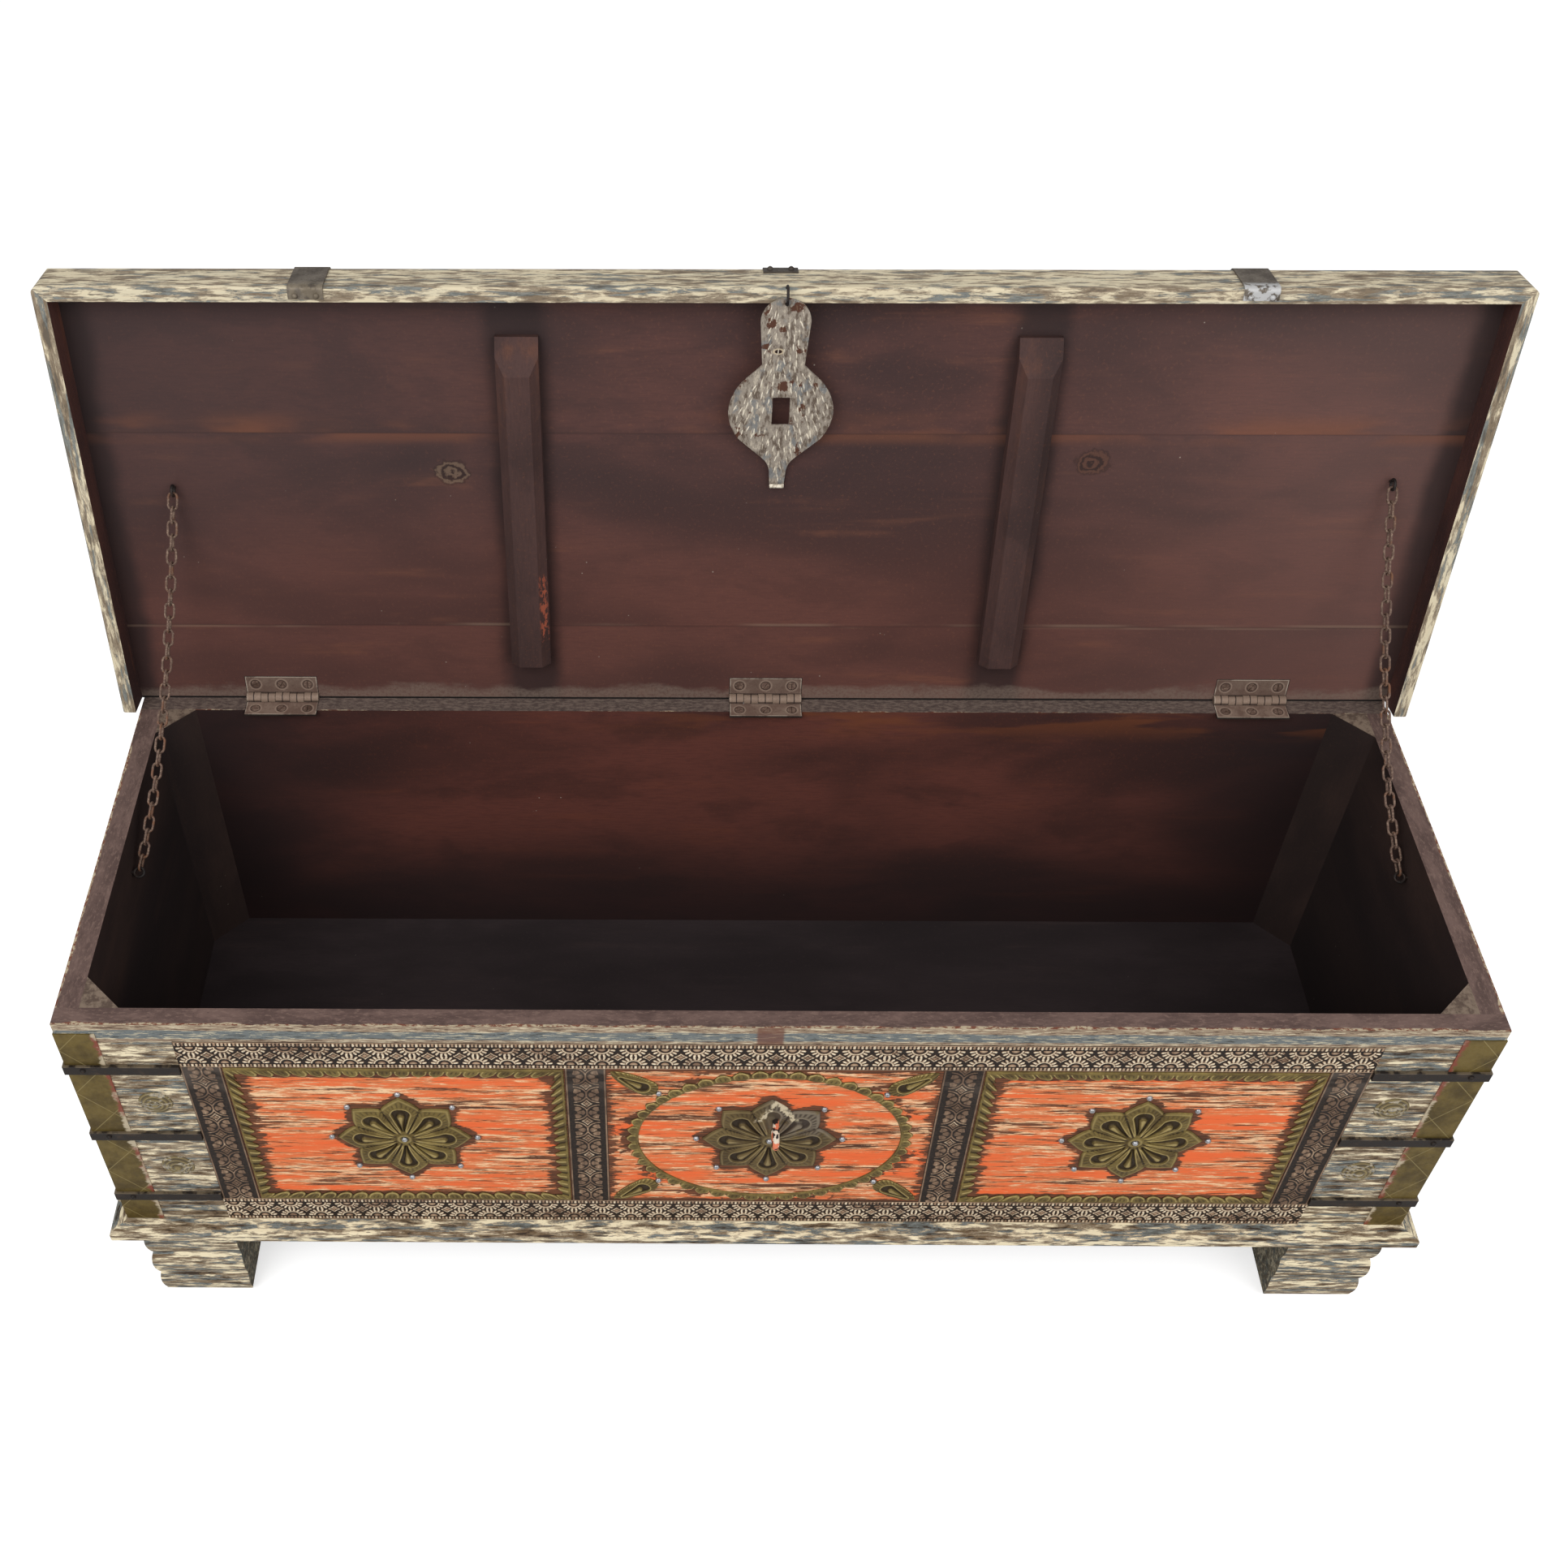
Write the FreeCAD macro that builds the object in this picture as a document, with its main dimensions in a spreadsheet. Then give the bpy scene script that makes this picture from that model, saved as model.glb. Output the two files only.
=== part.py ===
"""Low painted storage chest on four stepped feet, with its lid standing open.

Origin: middle of the whole open chest's floor outline, with the feet on Z = 0.
+X runs to the right along the front, +Y to the back, +Z up. Lengths are millimetres.
Pieces of the lid are laid out as they sit when it is closed, and are then turned
about the hinge pins to the open angle, at which the two check chains hold the lid.
"""
import FreeCAD, Part
import math
import os

from FreeCAD import Placement, Rotation, Vector

doc = FreeCAD.newDocument("chest")
sheet = doc.addObject("Spreadsheet::Sheet", "dims")

DIMENSIONS = [
    ("box_width", 1240),         # box outside, left to right
    ("box_depth", 413),          # box outside, front to back
    ("board", 18),               # thickness of the box's front and back
    ("side_board", 21),          # thickness of the box's ends
    ("panel_height", 327.5),     # height of the box's boards
    ("floor_board", 10),
    ("block_leg", 34),           # leg of the triangular corner blocks
    ("foot_height", 117),
    ("foot_size", 92),           # foot in plan, both ways
    ("foot_proud", 8),           # how far a foot stands in front of the box
    ("foot_inset", 9),          # how far a foot stands in from the box's end
    ("foot_bulge", 3.5),         # depth of the notches between the foot's steps
    ("foot_round", 9),           # rounding of the foot's lower edges
    ("moulding_reach", 17),      # how far the base moulding stands out
    ("moulding_height", 18.5),
    ("moulding_fall", 3),        # fall of the moulding's top towards its nose
    ("moulding_round", 4),
    ("lid_board", 22),
    ("lid_gap", 0.3),            # between the closed lid and the rim
    ("lid_skirt", 28),           # how far the lid's rails hang below its boards
    ("rail_board", 13),
    ("rail_gap", 2),             # between the rails and the box
    ("rail_round", 9),           # rounding of the rails' upper edge
    ("rail_ease", 3),            # rounding of the rails' lower edge
    ("lid_corner", 8),           # rounding of the lid's front corners in plan
    ("back_plank", 84),
    ("middle_plank", 200),
    ("batten_edge", 392),        # from the box's end to the middle of a batten
    ("batten_width", 38),
    ("batten_height", 22),
    ("batten_front", 37),        # from the box's front to the batten's front end
    ("batten_back", 50),         # from the hinge pins to the batten's back end
    ("batten_bevel", 30),
    ("batten_chamfer", 8),
    ("open_angle", 99),          # from closed to the stop on the chains, degrees
    ("hinge_edge", 137),         # from the box's end to the middle of an outer hinge
    ("hinge_shift", 3),          # of all three hinges to the right
    ("leaf_width", 72),
    ("leaf_depth", 25),
    ("leaf_sheet", 1.8),
    ("knuckle_radius", 6),
    ("knuckle_gap", 0.25),       # between two knuckles and round a knuckle
    ("hinge_pin_radius", 2.4),
    ("running_gap", 0.05),       # round a pin that turns
    ("screw_head_radius", 4.2),
    ("screw_shank_radius", 1.9),
    ("screw_length", 12),
    ("screw_pitch", 26),
    ("screw_edge", 15.7),         # from the hinge pins to a row of screws
    ("screw_slot", 0.9),
    ("strap_edge", 218),         # from the box's end to the middle of an outer strap
    ("strap_width", 30),
    ("strap_sheet", 1.5),
    ("strap_lap", 10),           # how far an outer strap runs under the rail
    ("middle_strap_drop", 17),
    ("strap_nail_pitch", 18),    # between the two nails at a strap's end
    ("strap_nail_edge", 6),
    ("strap_nail_row", 110),     # between the nails along the top of the lid
    ("frame_margin", 99),        # from the box's end to the dark embossed frame
    ("frame_top", 24),           # from the rim down to the frame
    ("strip_width", 36),
    ("strip_sheet", 1.2),
    ("post_place", 166),         # middle of a frame post from the chest's middle
    ("brass_sheet", 1),
    ("trim_band", 7),            # plain part of the scalloped brass trim
    ("lobe_pitch", 15),          # a scallop's width on a level side
    ("lobe_reach", 5.5),           # how far a scallop reaches past the plain band
    ("trim_edge", 1),            # between the trim and the embossed frame
    ("oval_side", 22),           # between the oval of scallops and a frame post
    ("oval_rise", 6.5),          # between that oval and the frame's long strips
    ("oval_band", 6),
    ("rosette_clear", 39.5),     # between a rosette's circle of pins and the frame
    ("rosette_sheet", 1.5),
    ("drop_height", 1.3),        # how far the raised drops stand off a petal
    ("drop_start", 9),
    ("boss_radius", 6),
    ("pin_clear", 5),            # from a petal's tip to the circle of silver pins
    ("pin_head_radius", 3),
    ("pin_shank_radius", 0.9),
    ("pin_length", 9),
    ("hole_gap", 0.15),          # round a nail or shank in its hole
    ("leaf_half", 11),           # half width of a brass corner leaf
    ("leaf_slant", 37),          # degrees
    ("leaf_corner", 4),
    ("wrap_width", 36),          # brass sheet bent round each front corner
    ("wrap_top", 13),            # from the rim down to the wrap
    ("band_height", 11.5),       # black iron bands over the wraps
    ("band_sheet", 2.2),
    ("band_side", 120),          # length of a band along the box's end
    ("band_first", 63),          # rim to the middle of the first band
    ("band_last", 42),           # middle of the last band to the moulding
    ("band_nail_edge", 14),
    ("band_nail_radius", 2.6),
    ("stud_edge", 67),           # from the box's end to the middle of a stud
    ("stud_radius", 12),
    ("stud_height", 4),
    ("stud_shank_radius", 1.5),
    ("staple_reach", 27),        # how far the staple stands out of the front
    ("staple_height", 24),
    ("staple_above", 23.9),      # middle of the front's frame up to the staple
    ("staple_wire", 3),          # radius of the staple's wire
    ("hasp_place", 4),           # hasp and staple from the chest's middle
    ("link_radius", 7.5),        # wire ring that carries the hasp
    ("link_wire", 1.2),
    ("link_inset", 4.8),         # ring's middle behind the rail's outer face
    ("link_drop", 4.5),          # ring's middle below the rail
    ("link_gap", 0.3),           # round the ring in the rail and the hasp
    ("hasp_sheet", 1.6),
    ("hasp_above", 5),           # hasp's upper end above its hole
    ("hasp_top_radius", 21.5),
    ("hasp_neck", 18.4),         # half width where the neck ends
    ("hasp_neck_rise", 45.8),    # middle of the slot up to the neck's end
    ("hasp_shoulder", 29.7),
    ("hasp_shoulder_rise", 34.5),
    ("hasp_body", 46.6),         # half width at the slot
    ("hasp_hip", 36.6),
    ("hasp_hip_fall", 28.6),     # middle of the slot down to the hip
    ("hasp_waist", 14),
    ("hasp_waist_fall", 49.4),
    ("hasp_tail", 7.6),          # half width where the tail begins
    ("hasp_tail_fall", 62.6),
    ("hasp_end", 6.5),           # half width at the tail's end
    ("hasp_end_fall", 78.4),     # middle of the slot down to the tail's end
    ("slot_width", 15.4),
    ("slot_height", 28),
    ("slot_play", 1.5),          # staple above the middle of the slot
    ("eye_radius", 4.6),         # screw eyes that hold the chains
    ("eye_wire", 1.4),
    ("eye_stand", 7),            # eye's middle from the wood
    ("eye_shank", 9),
    ("lid_eye_left_edge", 69),   # from the box's end
    ("lid_eye_left_run", 230),   # from the hinge pins
    ("lid_eye_right_edge", 54),
    ("lid_eye_right_run", 239),
    ("box_eye_back", 206),       # from the box's back
    ("box_eye_drop", 35),        # below the rim
    ("chain_wire", 1.15),
    ("chain_half_width", 4.1),   # middle of a link to the middle of its side wire
    ("chain_play", 0.2),         # play between two links
    ("chain_sag", 33),
]
CHAIN_LINKS = 28
KNUCKLES = 5
PETALS = 8
SCREWS_PER_LEAF = 3
FOOT_STEPS = 3
BANDS = 3
valley_share = 47 / 62      # of a petal's tip
upright_share = 12.3 / 15   # pitch of the lobes on upright sides, of that on level ones
drop_end_share = 40 / 62
drop_round_share = 6 / 62
leaf_share = 50 / 106.5     # length of a corner leaf, of the field's half height
chain_end_share = 0.02      # part of a chain's line that gives the way it leaves an eye


class Size:
    """A size from the sheet, or worked out from such sizes: value and expression."""

    def __init__(self, value, text):
        self.value = float(value)
        self.text = text

    def __float__(self):
        return self.value

    def __add__(self, other):
        return Size(self.value + float(other), f"({self.text} + {text_of(other)})")

    def __radd__(self, other):
        return Size(float(other) + self.value, f"({text_of(other)} + {self.text})")

    def __sub__(self, other):
        return Size(self.value - float(other), f"({self.text} - {text_of(other)})")

    def __rsub__(self, other):
        return Size(float(other) - self.value, f"({text_of(other)} - {self.text})")

    def __mul__(self, other):
        return Size(self.value * float(other), f"({self.text} * {text_of(other)})")

    def __rmul__(self, other):
        return Size(float(other) * self.value, f"({text_of(other)} * {self.text})")

    def __truediv__(self, other):
        return Size(self.value / float(other), f"({self.text} / {text_of(other)})")

    def __neg__(self):
        return Size(-self.value, f"(0 - {self.text})")


def text_of(size):
    return size.text if isinstance(size, Size) else repr(float(size))


def cosine(angle):
    return Size(math.cos(math.radians(float(angle))), f"cos({angle.text})")


def sine(angle):
    return Size(math.sin(math.radians(float(angle))), f"sin({angle.text})")


class Sizes:
    """The sheet's sizes by name."""


d = Sizes()
for row, (alias, number) in enumerate(DIMENSIONS, start=1):
    sheet.set(f"A{row}", alias)
    sheet.set(f"B{row}", str(number))
    sheet.setAlias(f"B{row}", alias)
    setattr(d, alias, Size(number, f"dims.{alias}"))
doc.recompute()

# Places that many pieces share
half_width = d.box_width / 2
lid_reach = d.box_depth + d.rail_gap + d.rail_board
open_cos = cosine(d.open_angle)
open_sin = sine(d.open_angle)
lid_lean = (
    d.rail_round + d.strap_sheet
    - open_cos * (lid_reach - d.rail_round)
    + open_sin * (d.lid_gap / 2 + d.lid_board - d.rail_round)
)
front = (d.staple_reach - d.box_depth - lid_lean) / 2
back = front + d.box_depth
panel_bottom = d.foot_height
rim = d.foot_height + d.panel_height
pin_line = rim + d.lid_gap / 2
floor_top = panel_bottom + d.floor_board
lid_under = rim + d.lid_gap
lid_top = lid_under + d.lid_board
rail_bottom = lid_under - d.lid_skirt
lid_tuck = d.lid_gap * 1.4 * open_sin * open_sin * open_sin * open_sin
rail_front = front - d.rail_gap - d.rail_board
rail_left = -half_width - d.rail_gap - d.rail_board
moulding_top = panel_bottom + d.moulding_height
frame_upper = rim - d.frame_top
frame_lower = moulding_top
frame_middle = (frame_upper + frame_lower) / 2
frame_half = half_width - d.frame_margin
field_half = (frame_upper - frame_lower) / 2 - d.strip_width
rosette_place = (d.post_place + frame_half - d.strip_width / 2) / 2
pin_ring = field_half - d.rosette_clear
rosette_tip = pin_ring - d.pin_clear
leaf_length = field_half * leaf_share
band_pitch = (rim - moulding_top - d.band_first - d.band_last) / (BANDS - 1)
link_middle_y = rail_front + d.link_inset
link_middle_z = rail_bottom - d.link_drop
staple_middle = frame_middle + d.staple_above
slot_middle_closed = staple_middle - d.slot_play
hasp_slot_drop = link_middle_z - d.link_radius - slot_middle_closed
hasp_neck_drop = hasp_slot_drop - d.hasp_neck_rise
hasp_shoulder_drop = hasp_slot_drop - d.hasp_shoulder_rise
hasp_hip_drop = hasp_slot_drop + d.hasp_hip_fall
hasp_waist_drop = hasp_slot_drop + d.hasp_waist_fall
hasp_tail_drop = hasp_slot_drop + d.hasp_tail_fall
hasp_length = hasp_slot_drop + d.hasp_end_fall
hinge_place = half_width - d.hinge_edge
strap_place = half_width - d.strap_edge
batten_place = half_width - d.batten_edge
batten_length = d.box_depth - d.batten_back - d.batten_front
stud_place = half_width - d.stud_edge

subparts = []


def keep(item, label):
    """Marks an object as one sub-part of the chest."""
    item.Label = label
    subparts.append(item)
    return item


def bind(item, name, size):
    if isinstance(size, Size):
        item.setExpression(name, size.text)
    else:
        setattr(item, name, size)


def opened(y, z):
    """Where a point of the closed lid goes when the lid opens."""
    run = y - back
    rise = z - pin_line
    return back + run * open_cos + rise * open_sin, pin_line - run * open_sin + rise * open_cos


def place(item, x, y, z, turn=0, on_lid=False):
    """Puts an object's own origin at x, y, z of the closed chest; lid pieces then open."""
    if on_lid:
        y, z = opened(y, z)
        item.Placement = Placement(Vector(), Rotation(Vector(-1, 0, 0), float(d.open_angle)))
        item.setExpression("Placement.Rotation.Angle", d.open_angle.text)
    elif turn:
        item.Placement = Placement(Vector(), Rotation(Vector(0, 0, 1), turn))
    for axis, size in (("x", x), ("y", y), ("z", z)):
        item.setExpression(f"Placement.Base.{axis}", text_of(size))
    return item


def box(length, width, height, x, y, z, on_lid=False):
    item = doc.addObject("Part::Box", "Block")
    bind(item, "Length", length)
    bind(item, "Width", width)
    bind(item, "Height", height)
    return place(item, x, y, z, on_lid=on_lid)


CYLINDER_TURNS = {
    "x": Rotation(Vector(0, 1, 0), 90),
    "y": Rotation(Vector(-1, 0, 0), 90),
    "z": Rotation(),
    "-z": Rotation(Vector(1, 0, 0), 180),
}


def cylinder(radius, height, direction, x, y, z):
    """A round bar that starts at x, y, z and runs in the given direction."""
    item = doc.addObject("Part::Cylinder", "Round")
    bind(item, "Radius", radius)
    bind(item, "Height", height)
    item.Placement = Placement(Vector(), CYLINDER_TURNS[direction])
    for axis, size in (("x", x), ("y", y), ("z", z)):
        item.setExpression(f"Placement.Base.{axis}", text_of(size))
    return item


def group(items):
    item = doc.addObject("Part::Compound", "Group")
    item.Links = items
    return item


def fuse(items):
    item = doc.addObject("Part::MultiFuse", "Joined")
    item.Shapes = items
    return item


def cut(base, tools):
    item = doc.addObject("Part::Cut", "Cut")
    item.Base = base
    item.Tool = tools[0] if len(tools) == 1 else group(tools)
    return item


def code_shape(shape, label, on_lid=False):
    """A sub-part whose shape is worked out in this file from the sheet's sizes."""
    item = doc.addObject("Part::Feature", "Made")
    item.Shape = shape
    if on_lid:
        centre = Vector(0, float(back), float(pin_line))
        turn = Rotation(Vector(-1, 0, 0), float(d.open_angle))
        item.Placement = Placement(Vector(), turn, centre)
    return keep(item, label)


def origin_plane(body, role):
    for item in body.Origin.OriginFeatures:
        if item.Role == role:
            return item
    raise ValueError(role)


def arc_between(first, last, radius, side):
    """An arc of under half a turn; side 1 has its middle on the left of the way."""
    chord = last - first
    half = chord.Length / 2
    normal = Vector(-chord.y, chord.x, 0).normalize() * side
    centre = (first + last) / 2 + normal * math.sqrt(max(radius**2 - half**2, 0))
    return Part.Arc(first, centre - normal * radius, last)


def outline(body, plane, corners):
    """A closed sketch; each corner is (across, up) or (across, up, radius, side)."""
    sketch = body.newObject("Sketcher::SketchObject", "Outline")
    sketch.AttachmentSupport = [(origin_plane(body, plane), "")]
    sketch.MapMode = "FlatFace"
    points = [Vector(float(corner[0]), float(corner[1]), 0) for corner in corners]
    ends = []
    for index, corner in enumerate(corners):
        first, last = points[index], points[(index + 1) % len(points)]
        if len(corner) == 4:
            geometry = sketch.addGeometry(arc_between(first, last, float(corner[2]), corner[3]), False)
            swapped = (sketch.getPoint(geometry, 1) - first).Length > (sketch.getPoint(geometry, 2) - first).Length
            ends.append((geometry, 2 if swapped else 1, 1 if swapped else 2))
            limit = add_constraint(sketch, "Radius", geometry, float(corner[2]))
            sketch.setExpression(f"Constraints[{limit}]", text_of(corner[2]))
        else:
            geometry = sketch.addGeometry(Part.LineSegment(first, last), False)
            ends.append((geometry, 1, 2))
    for index, corner in enumerate(corners):
        geometry, start, _ = ends[index]
        before, _, finish = ends[index - 1]
        add_constraint(sketch, "Coincident", before, finish, geometry, start)
        for kind, size, axis in (("DistanceX", corner[0], -2), ("DistanceY", corner[1], -1)):
            if abs(float(size)) == 0:
                add_constraint(sketch, "PointOnObject", geometry, start, axis)
            else:
                limit = add_constraint(sketch, kind, -1, 1, geometry, start, float(size))
                sketch.setExpression(f"Constraints[{limit}]", text_of(size))
    return sketch


def add_constraint(sketch, *values):
    import Sketcher
    return sketch.addConstraint(Sketcher.Constraint(*values))


def prism(plane, corners, length, reverse=False):
    """A body made by pushing one outline out of a plane of its own."""
    body = doc.addObject("PartDesign::Body", "Piece")
    sketch = outline(body, plane, corners)
    pad = body.newObject("PartDesign::Pad", "Pad")
    pad.Profile = sketch
    bind(pad, "Length", length)
    pad.Reversed = reverse
    return body


def pocket(body, plane, corners, depth, reverse=False):
    sketch = outline(body, plane, corners)
    item = body.newObject("PartDesign::Pocket", "Pocket")
    item.Profile = sketch
    bind(item, "Length", depth)
    item.Reversed = reverse
    return item


def nail(head_radius, shank_radius, length, height=None):
    """A domed nail: its head sits on Z = 0 and its shank runs down."""
    dome = Part.makeSphere(head_radius, Vector(), Vector(0, 0, 1), 0, 90, 360)
    if height:
        matrix = FreeCAD.Matrix()
        matrix.scale(1, 1, height / head_radius)
        dome = dome.transformGeometry(matrix)
    shank = Part.makeCylinder(shank_radius, length, Vector(), Vector(0, 0, -1))
    return dome.fuse(shank).removeSplitter()


def placed_copy(shape, position, rotation):
    copy = shape.copy()
    copy.Placement = Placement(position, rotation)
    return copy


OUT_OF_FRONT = Rotation(Vector(1, 0, 0), 90)     # turns a nail's head towards -Y


# Box

def pin_places():
    """Every silver pin on the front, as across and height."""
    places = []
    for middle in (-float(rosette_place), 0, float(rosette_place)):
        places.append((middle, float(frame_middle)))
        for petal in range(PETALS):
            if middle == 0 and petal == 2:
                continue                     # the staple's upper leg stands here
            angle = 2 * math.pi * petal / PETALS
            across = middle + float(pin_ring) * math.cos(angle)
            places.append((across, float(frame_middle) + float(pin_ring) * math.sin(angle)))
    return places


def front_face_holes():
    """Drillings in the front board for pins, studs, band nails and the staple."""
    holes = []

    def drill(radius, length, across, height):
        size = radius + float(d.hole_gap)
        depth = length + float(d.hole_gap)
        holes.append(Part.makeCylinder(size, depth, Vector(across, float(front), height), Vector(0, 1, 0)))

    for across, height in pin_places():
        drill(float(d.pin_shank_radius), float(d.pin_length), across, height)
    for across, height, _ in leaf_places():
        pin_across, pin_height = leaf_pin_place(across, height)
        drill(float(d.pin_shank_radius), float(d.pin_length), pin_across, pin_height)
    for across, height in stud_places():
        drill(float(d.stud_shank_radius), float(d.pin_length), across, height)
    for height in staple_legs():
        size = float(d.staple_wire)
        run = float(d.board) + float(d.hole_gap)
        start = Vector(float(d.hasp_place), float(front) - float(d.hole_gap), height)
        holes.append(Part.makeCylinder(size + float(d.hole_gap), run + 2 * float(d.hole_gap), start, Vector(0, 1, 0)))
    item = doc.addObject("Part::Feature", "Holes")
    item.Shape = Part.makeCompound(holes)
    return item


def staple_legs():
    reach = float(d.staple_height) / 2 - float(d.staple_wire)
    return float(staple_middle) + reach, float(staple_middle) - reach


def front_panel():
    whole = box(d.box_width, d.board, d.panel_height, -half_width, front, panel_bottom)
    keep(cut(whole, [front_face_holes()]), "front_panel")


def hinge_places():
    shift = d.hinge_shift
    return ("left", shift - hinge_place), ("centre", shift), ("right", shift + hinge_place)


def screw_places(middle):
    return [middle + d.screw_pitch * (step - (SCREWS_PER_LEAF - 1) / 2) for step in range(SCREWS_PER_LEAF)]


def hinge_housings(below):
    """What the hinges need taken out of the boards below or above their pins."""
    tools = []
    relief = d.knuckle_radius + d.knuckle_gap * 2
    sheet_gap = d.hole_gap
    length = d.leaf_width + sheet_gap * 2
    for _, middle in hinge_places():
        start = middle - length / 2
        depth = d.leaf_depth + sheet_gap
        if below:
            level = rim - d.leaf_sheet
        else:
            level = lid_under
        tools.append(box(length, depth, d.leaf_sheet, start, back - depth, level))
        tools.append(cylinder(relief, length, "x", start, back, pin_line))
        for across in screw_places(middle):
            size = d.screw_shank_radius + d.hole_gap
            run = d.screw_length + d.hole_gap
            if below:
                tools.append(cylinder(size, run, "-z", across, back - d.screw_edge, rim))
            else:
                tools.append(cylinder(size, run, "z", across, back - d.screw_edge, lid_under))
    return tools


def back_panel():
    whole = box(d.box_width, d.board, d.panel_height, -half_width, back - d.board, panel_bottom)
    keep(cut(whole, hinge_housings(below=True)), "back_panel")


def side_panels():
    """The ends of the box fit between its front and back; each has a hole for its eye."""
    depth = d.box_depth - d.board * 2
    size = d.eye_wire + d.hole_gap
    run = d.eye_shank + d.hole_gap
    for side, start, eye_start in (
        ("left", -half_width, -half_width + d.side_board - run),
        ("right", half_width - d.side_board, half_width - d.side_board),
    ):
        whole = box(d.side_board, depth, d.panel_height, start, front + d.board, panel_bottom)
        hole = cylinder(size, run, "x", eye_start, back - d.box_eye_back, rim - d.box_eye_drop)
        keep(cut(whole, [hole]), f"{side}_side_panel")


def floor_panel():
    width = d.box_width - d.side_board * 2
    depth = d.box_depth - d.board * 2
    keep(box(width, depth, d.floor_board, d.side_board - half_width, front + d.board, panel_bottom), "floor_panel")


def corner_blocks():
    """Triangular blocks stand in the box's corners from its floor to its rim."""
    leg = d.block_leg
    height = rim - floor_top
    inside = half_width - d.side_board
    for label, x, y, turn in (
        ("front_left", -inside, front + d.board, 0),
        ("front_right", inside, front + d.board, 90),
        ("back_right", inside, back - d.board, 180),
        ("back_left", -inside, back - d.board, 270),
    ):
        block = prism("XY_Plane", [(0, 0), (leg, 0), (0, leg)], height)
        place(block, x, y, floor_top, turn=turn)
        keep(block, f"corner_block_{label}")


def base_mouldings():
    """Four mitred lengths run round the foot of the box; the nose is on y = 0."""
    reach, height, nose = d.moulding_reach, d.moulding_height, d.moulding_round
    fall = height - d.moulding_fall
    profile = [
        (reach, height),
        (nose, fall, nose, 1),
        (0, fall - nose),
        (0, nose, nose, 1),
        (nose, 0),
        (reach, 0),
    ]
    long_run = d.box_width + reach * 2
    short_run = d.box_depth + reach * 2
    left, right = -half_width - reach, half_width + reach
    for label, length, x, y, turn in (
        ("front", long_run, left, front - reach, 0),
        ("right", short_run, right, front - reach, 90),
        ("back", long_run, right, back + reach, 180),
        ("left", short_run, left, back + reach, 270),
    ):
        body = prism("YZ_Plane", profile, length)
        pocket(body, "XY_Plane", [(0, 0), (reach, reach), (0, reach)], height, reverse=True)
        far = [(length, 0), (length, reach), (length - reach, reach)]
        pocket(body, "XY_Plane", far, height, reverse=True)
        place(body, x, y, panel_bottom, turn=turn)
        keep(body, f"base_moulding_{label}")


def foot_profile():
    """One face of a foot: three swelling steps outside, a plain face inside."""
    rise = d.foot_height / FOOT_STEPS
    swell = (rise * rise / 4 + d.foot_bulge * d.foot_bulge) / (d.foot_bulge * 2)
    corners = [
        (d.foot_size, d.foot_height),
        (d.foot_bulge, d.foot_height, swell, 1),
        (d.foot_bulge, rise * 2, swell, 1),
        (d.foot_bulge, rise, swell, 1),
        (d.foot_bulge, d.foot_round, d.foot_round, 1),
        (d.foot_bulge + d.foot_round, 0),
        (d.foot_size - d.foot_round, 0, d.foot_round, 1),
        (d.foot_size, d.foot_round),
    ]
    return corners


def feet():
    """A foot keeps only what both of its stepped profiles have in common."""
    left = -half_width + d.foot_inset
    near = front - d.foot_proud
    far = back + d.foot_proud
    for label, x, y, turn in (
        ("front_left", left, near, 0),
        ("front_right", -left, near, 90),
        ("back_right", -left, far, 180),
        ("back_left", left, far, 270),
    ):
        both = doc.addObject("Part::Common", "Foot")
        both.Base = prism("XZ_Plane", foot_profile(), d.foot_size, reverse=True)
        both.Tool = prism("YZ_Plane", foot_profile(), d.foot_size)
        place(both, x, y, 0, turn=turn)
        keep(both, f"foot_{label}")


# Ornament of the front

def front_plate(outer, thickness, holes=(), level=0.0):
    """A thin plate on the front board; its wires lie at y = 0, and level lifts it."""
    face = Part.makeFace([outer] + list(holes), "Part::FaceMakerBullseye")
    plate = face.extrude(Vector(0, -thickness, 0))
    plate.translate(Vector(0, float(front) - level, 0))
    return plate


def flat(across, height):
    return Vector(across, 0, height)


def scalloped(points, middle, reach):
    """Arcs from point to point; each swells by reach, away from middle if positive."""
    edges = []
    for index, first in enumerate(points):
        last = points[(index + 1) % len(points)]
        chord_middle = (first + last) / 2
        chord = last - first
        normal = chord.cross(Vector(0, 1, 0)).normalize()
        if (chord_middle - middle).dot(normal) < 0:
            normal = -normal
        whole_lobe = float(d.lobe_pitch) * upright_share
        swell = reach * min(1, chord.Length / whole_lobe * 1.02) ** 4
        edges.append(Part.Arc(first, chord_middle + normal * swell, last).toShape())
    return Part.Wire(edges)


def spaced(first, last, pitch):
    count = max(1, round((last - first).Length / pitch))
    return [first + (last - first) * (step / count) for step in range(count)]


def embossed_frame():
    """Two long strips above and below, and four upright ones between them."""
    width, strip, sheet_size = frame_half * 2, d.strip_width, d.strip_sheet
    y = front - sheet_size
    rails = [
        box(width, sheet_size, strip, -width / 2, y, frame_upper - strip),
        box(width, sheet_size, strip, -width / 2, y, frame_lower),
    ]
    keep(group(rails), "embossed_rails")
    stiles = []
    tall = frame_upper - frame_lower - strip * 2
    for middle in (strip / 2 - width / 2, -d.post_place, d.post_place, width / 2 - strip / 2):
        stiles.append(box(strip, sheet_size, tall, middle - strip / 2, y, frame_lower + strip))
    keep(group(stiles), "embossed_stiles")


def field_box(side):
    """Corners of an outer painted field, inside the embossed frame."""
    inner = float(d.post_place + d.strip_width / 2 + d.trim_edge)
    outer = float(frame_half - d.strip_width - d.trim_edge)
    low = float(frame_lower + d.strip_width + d.trim_edge)
    high = float(frame_upper - d.strip_width - d.trim_edge)
    left, right = (-outer, -inner) if side == "left" else (inner, outer)
    return left, right, low, high


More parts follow.
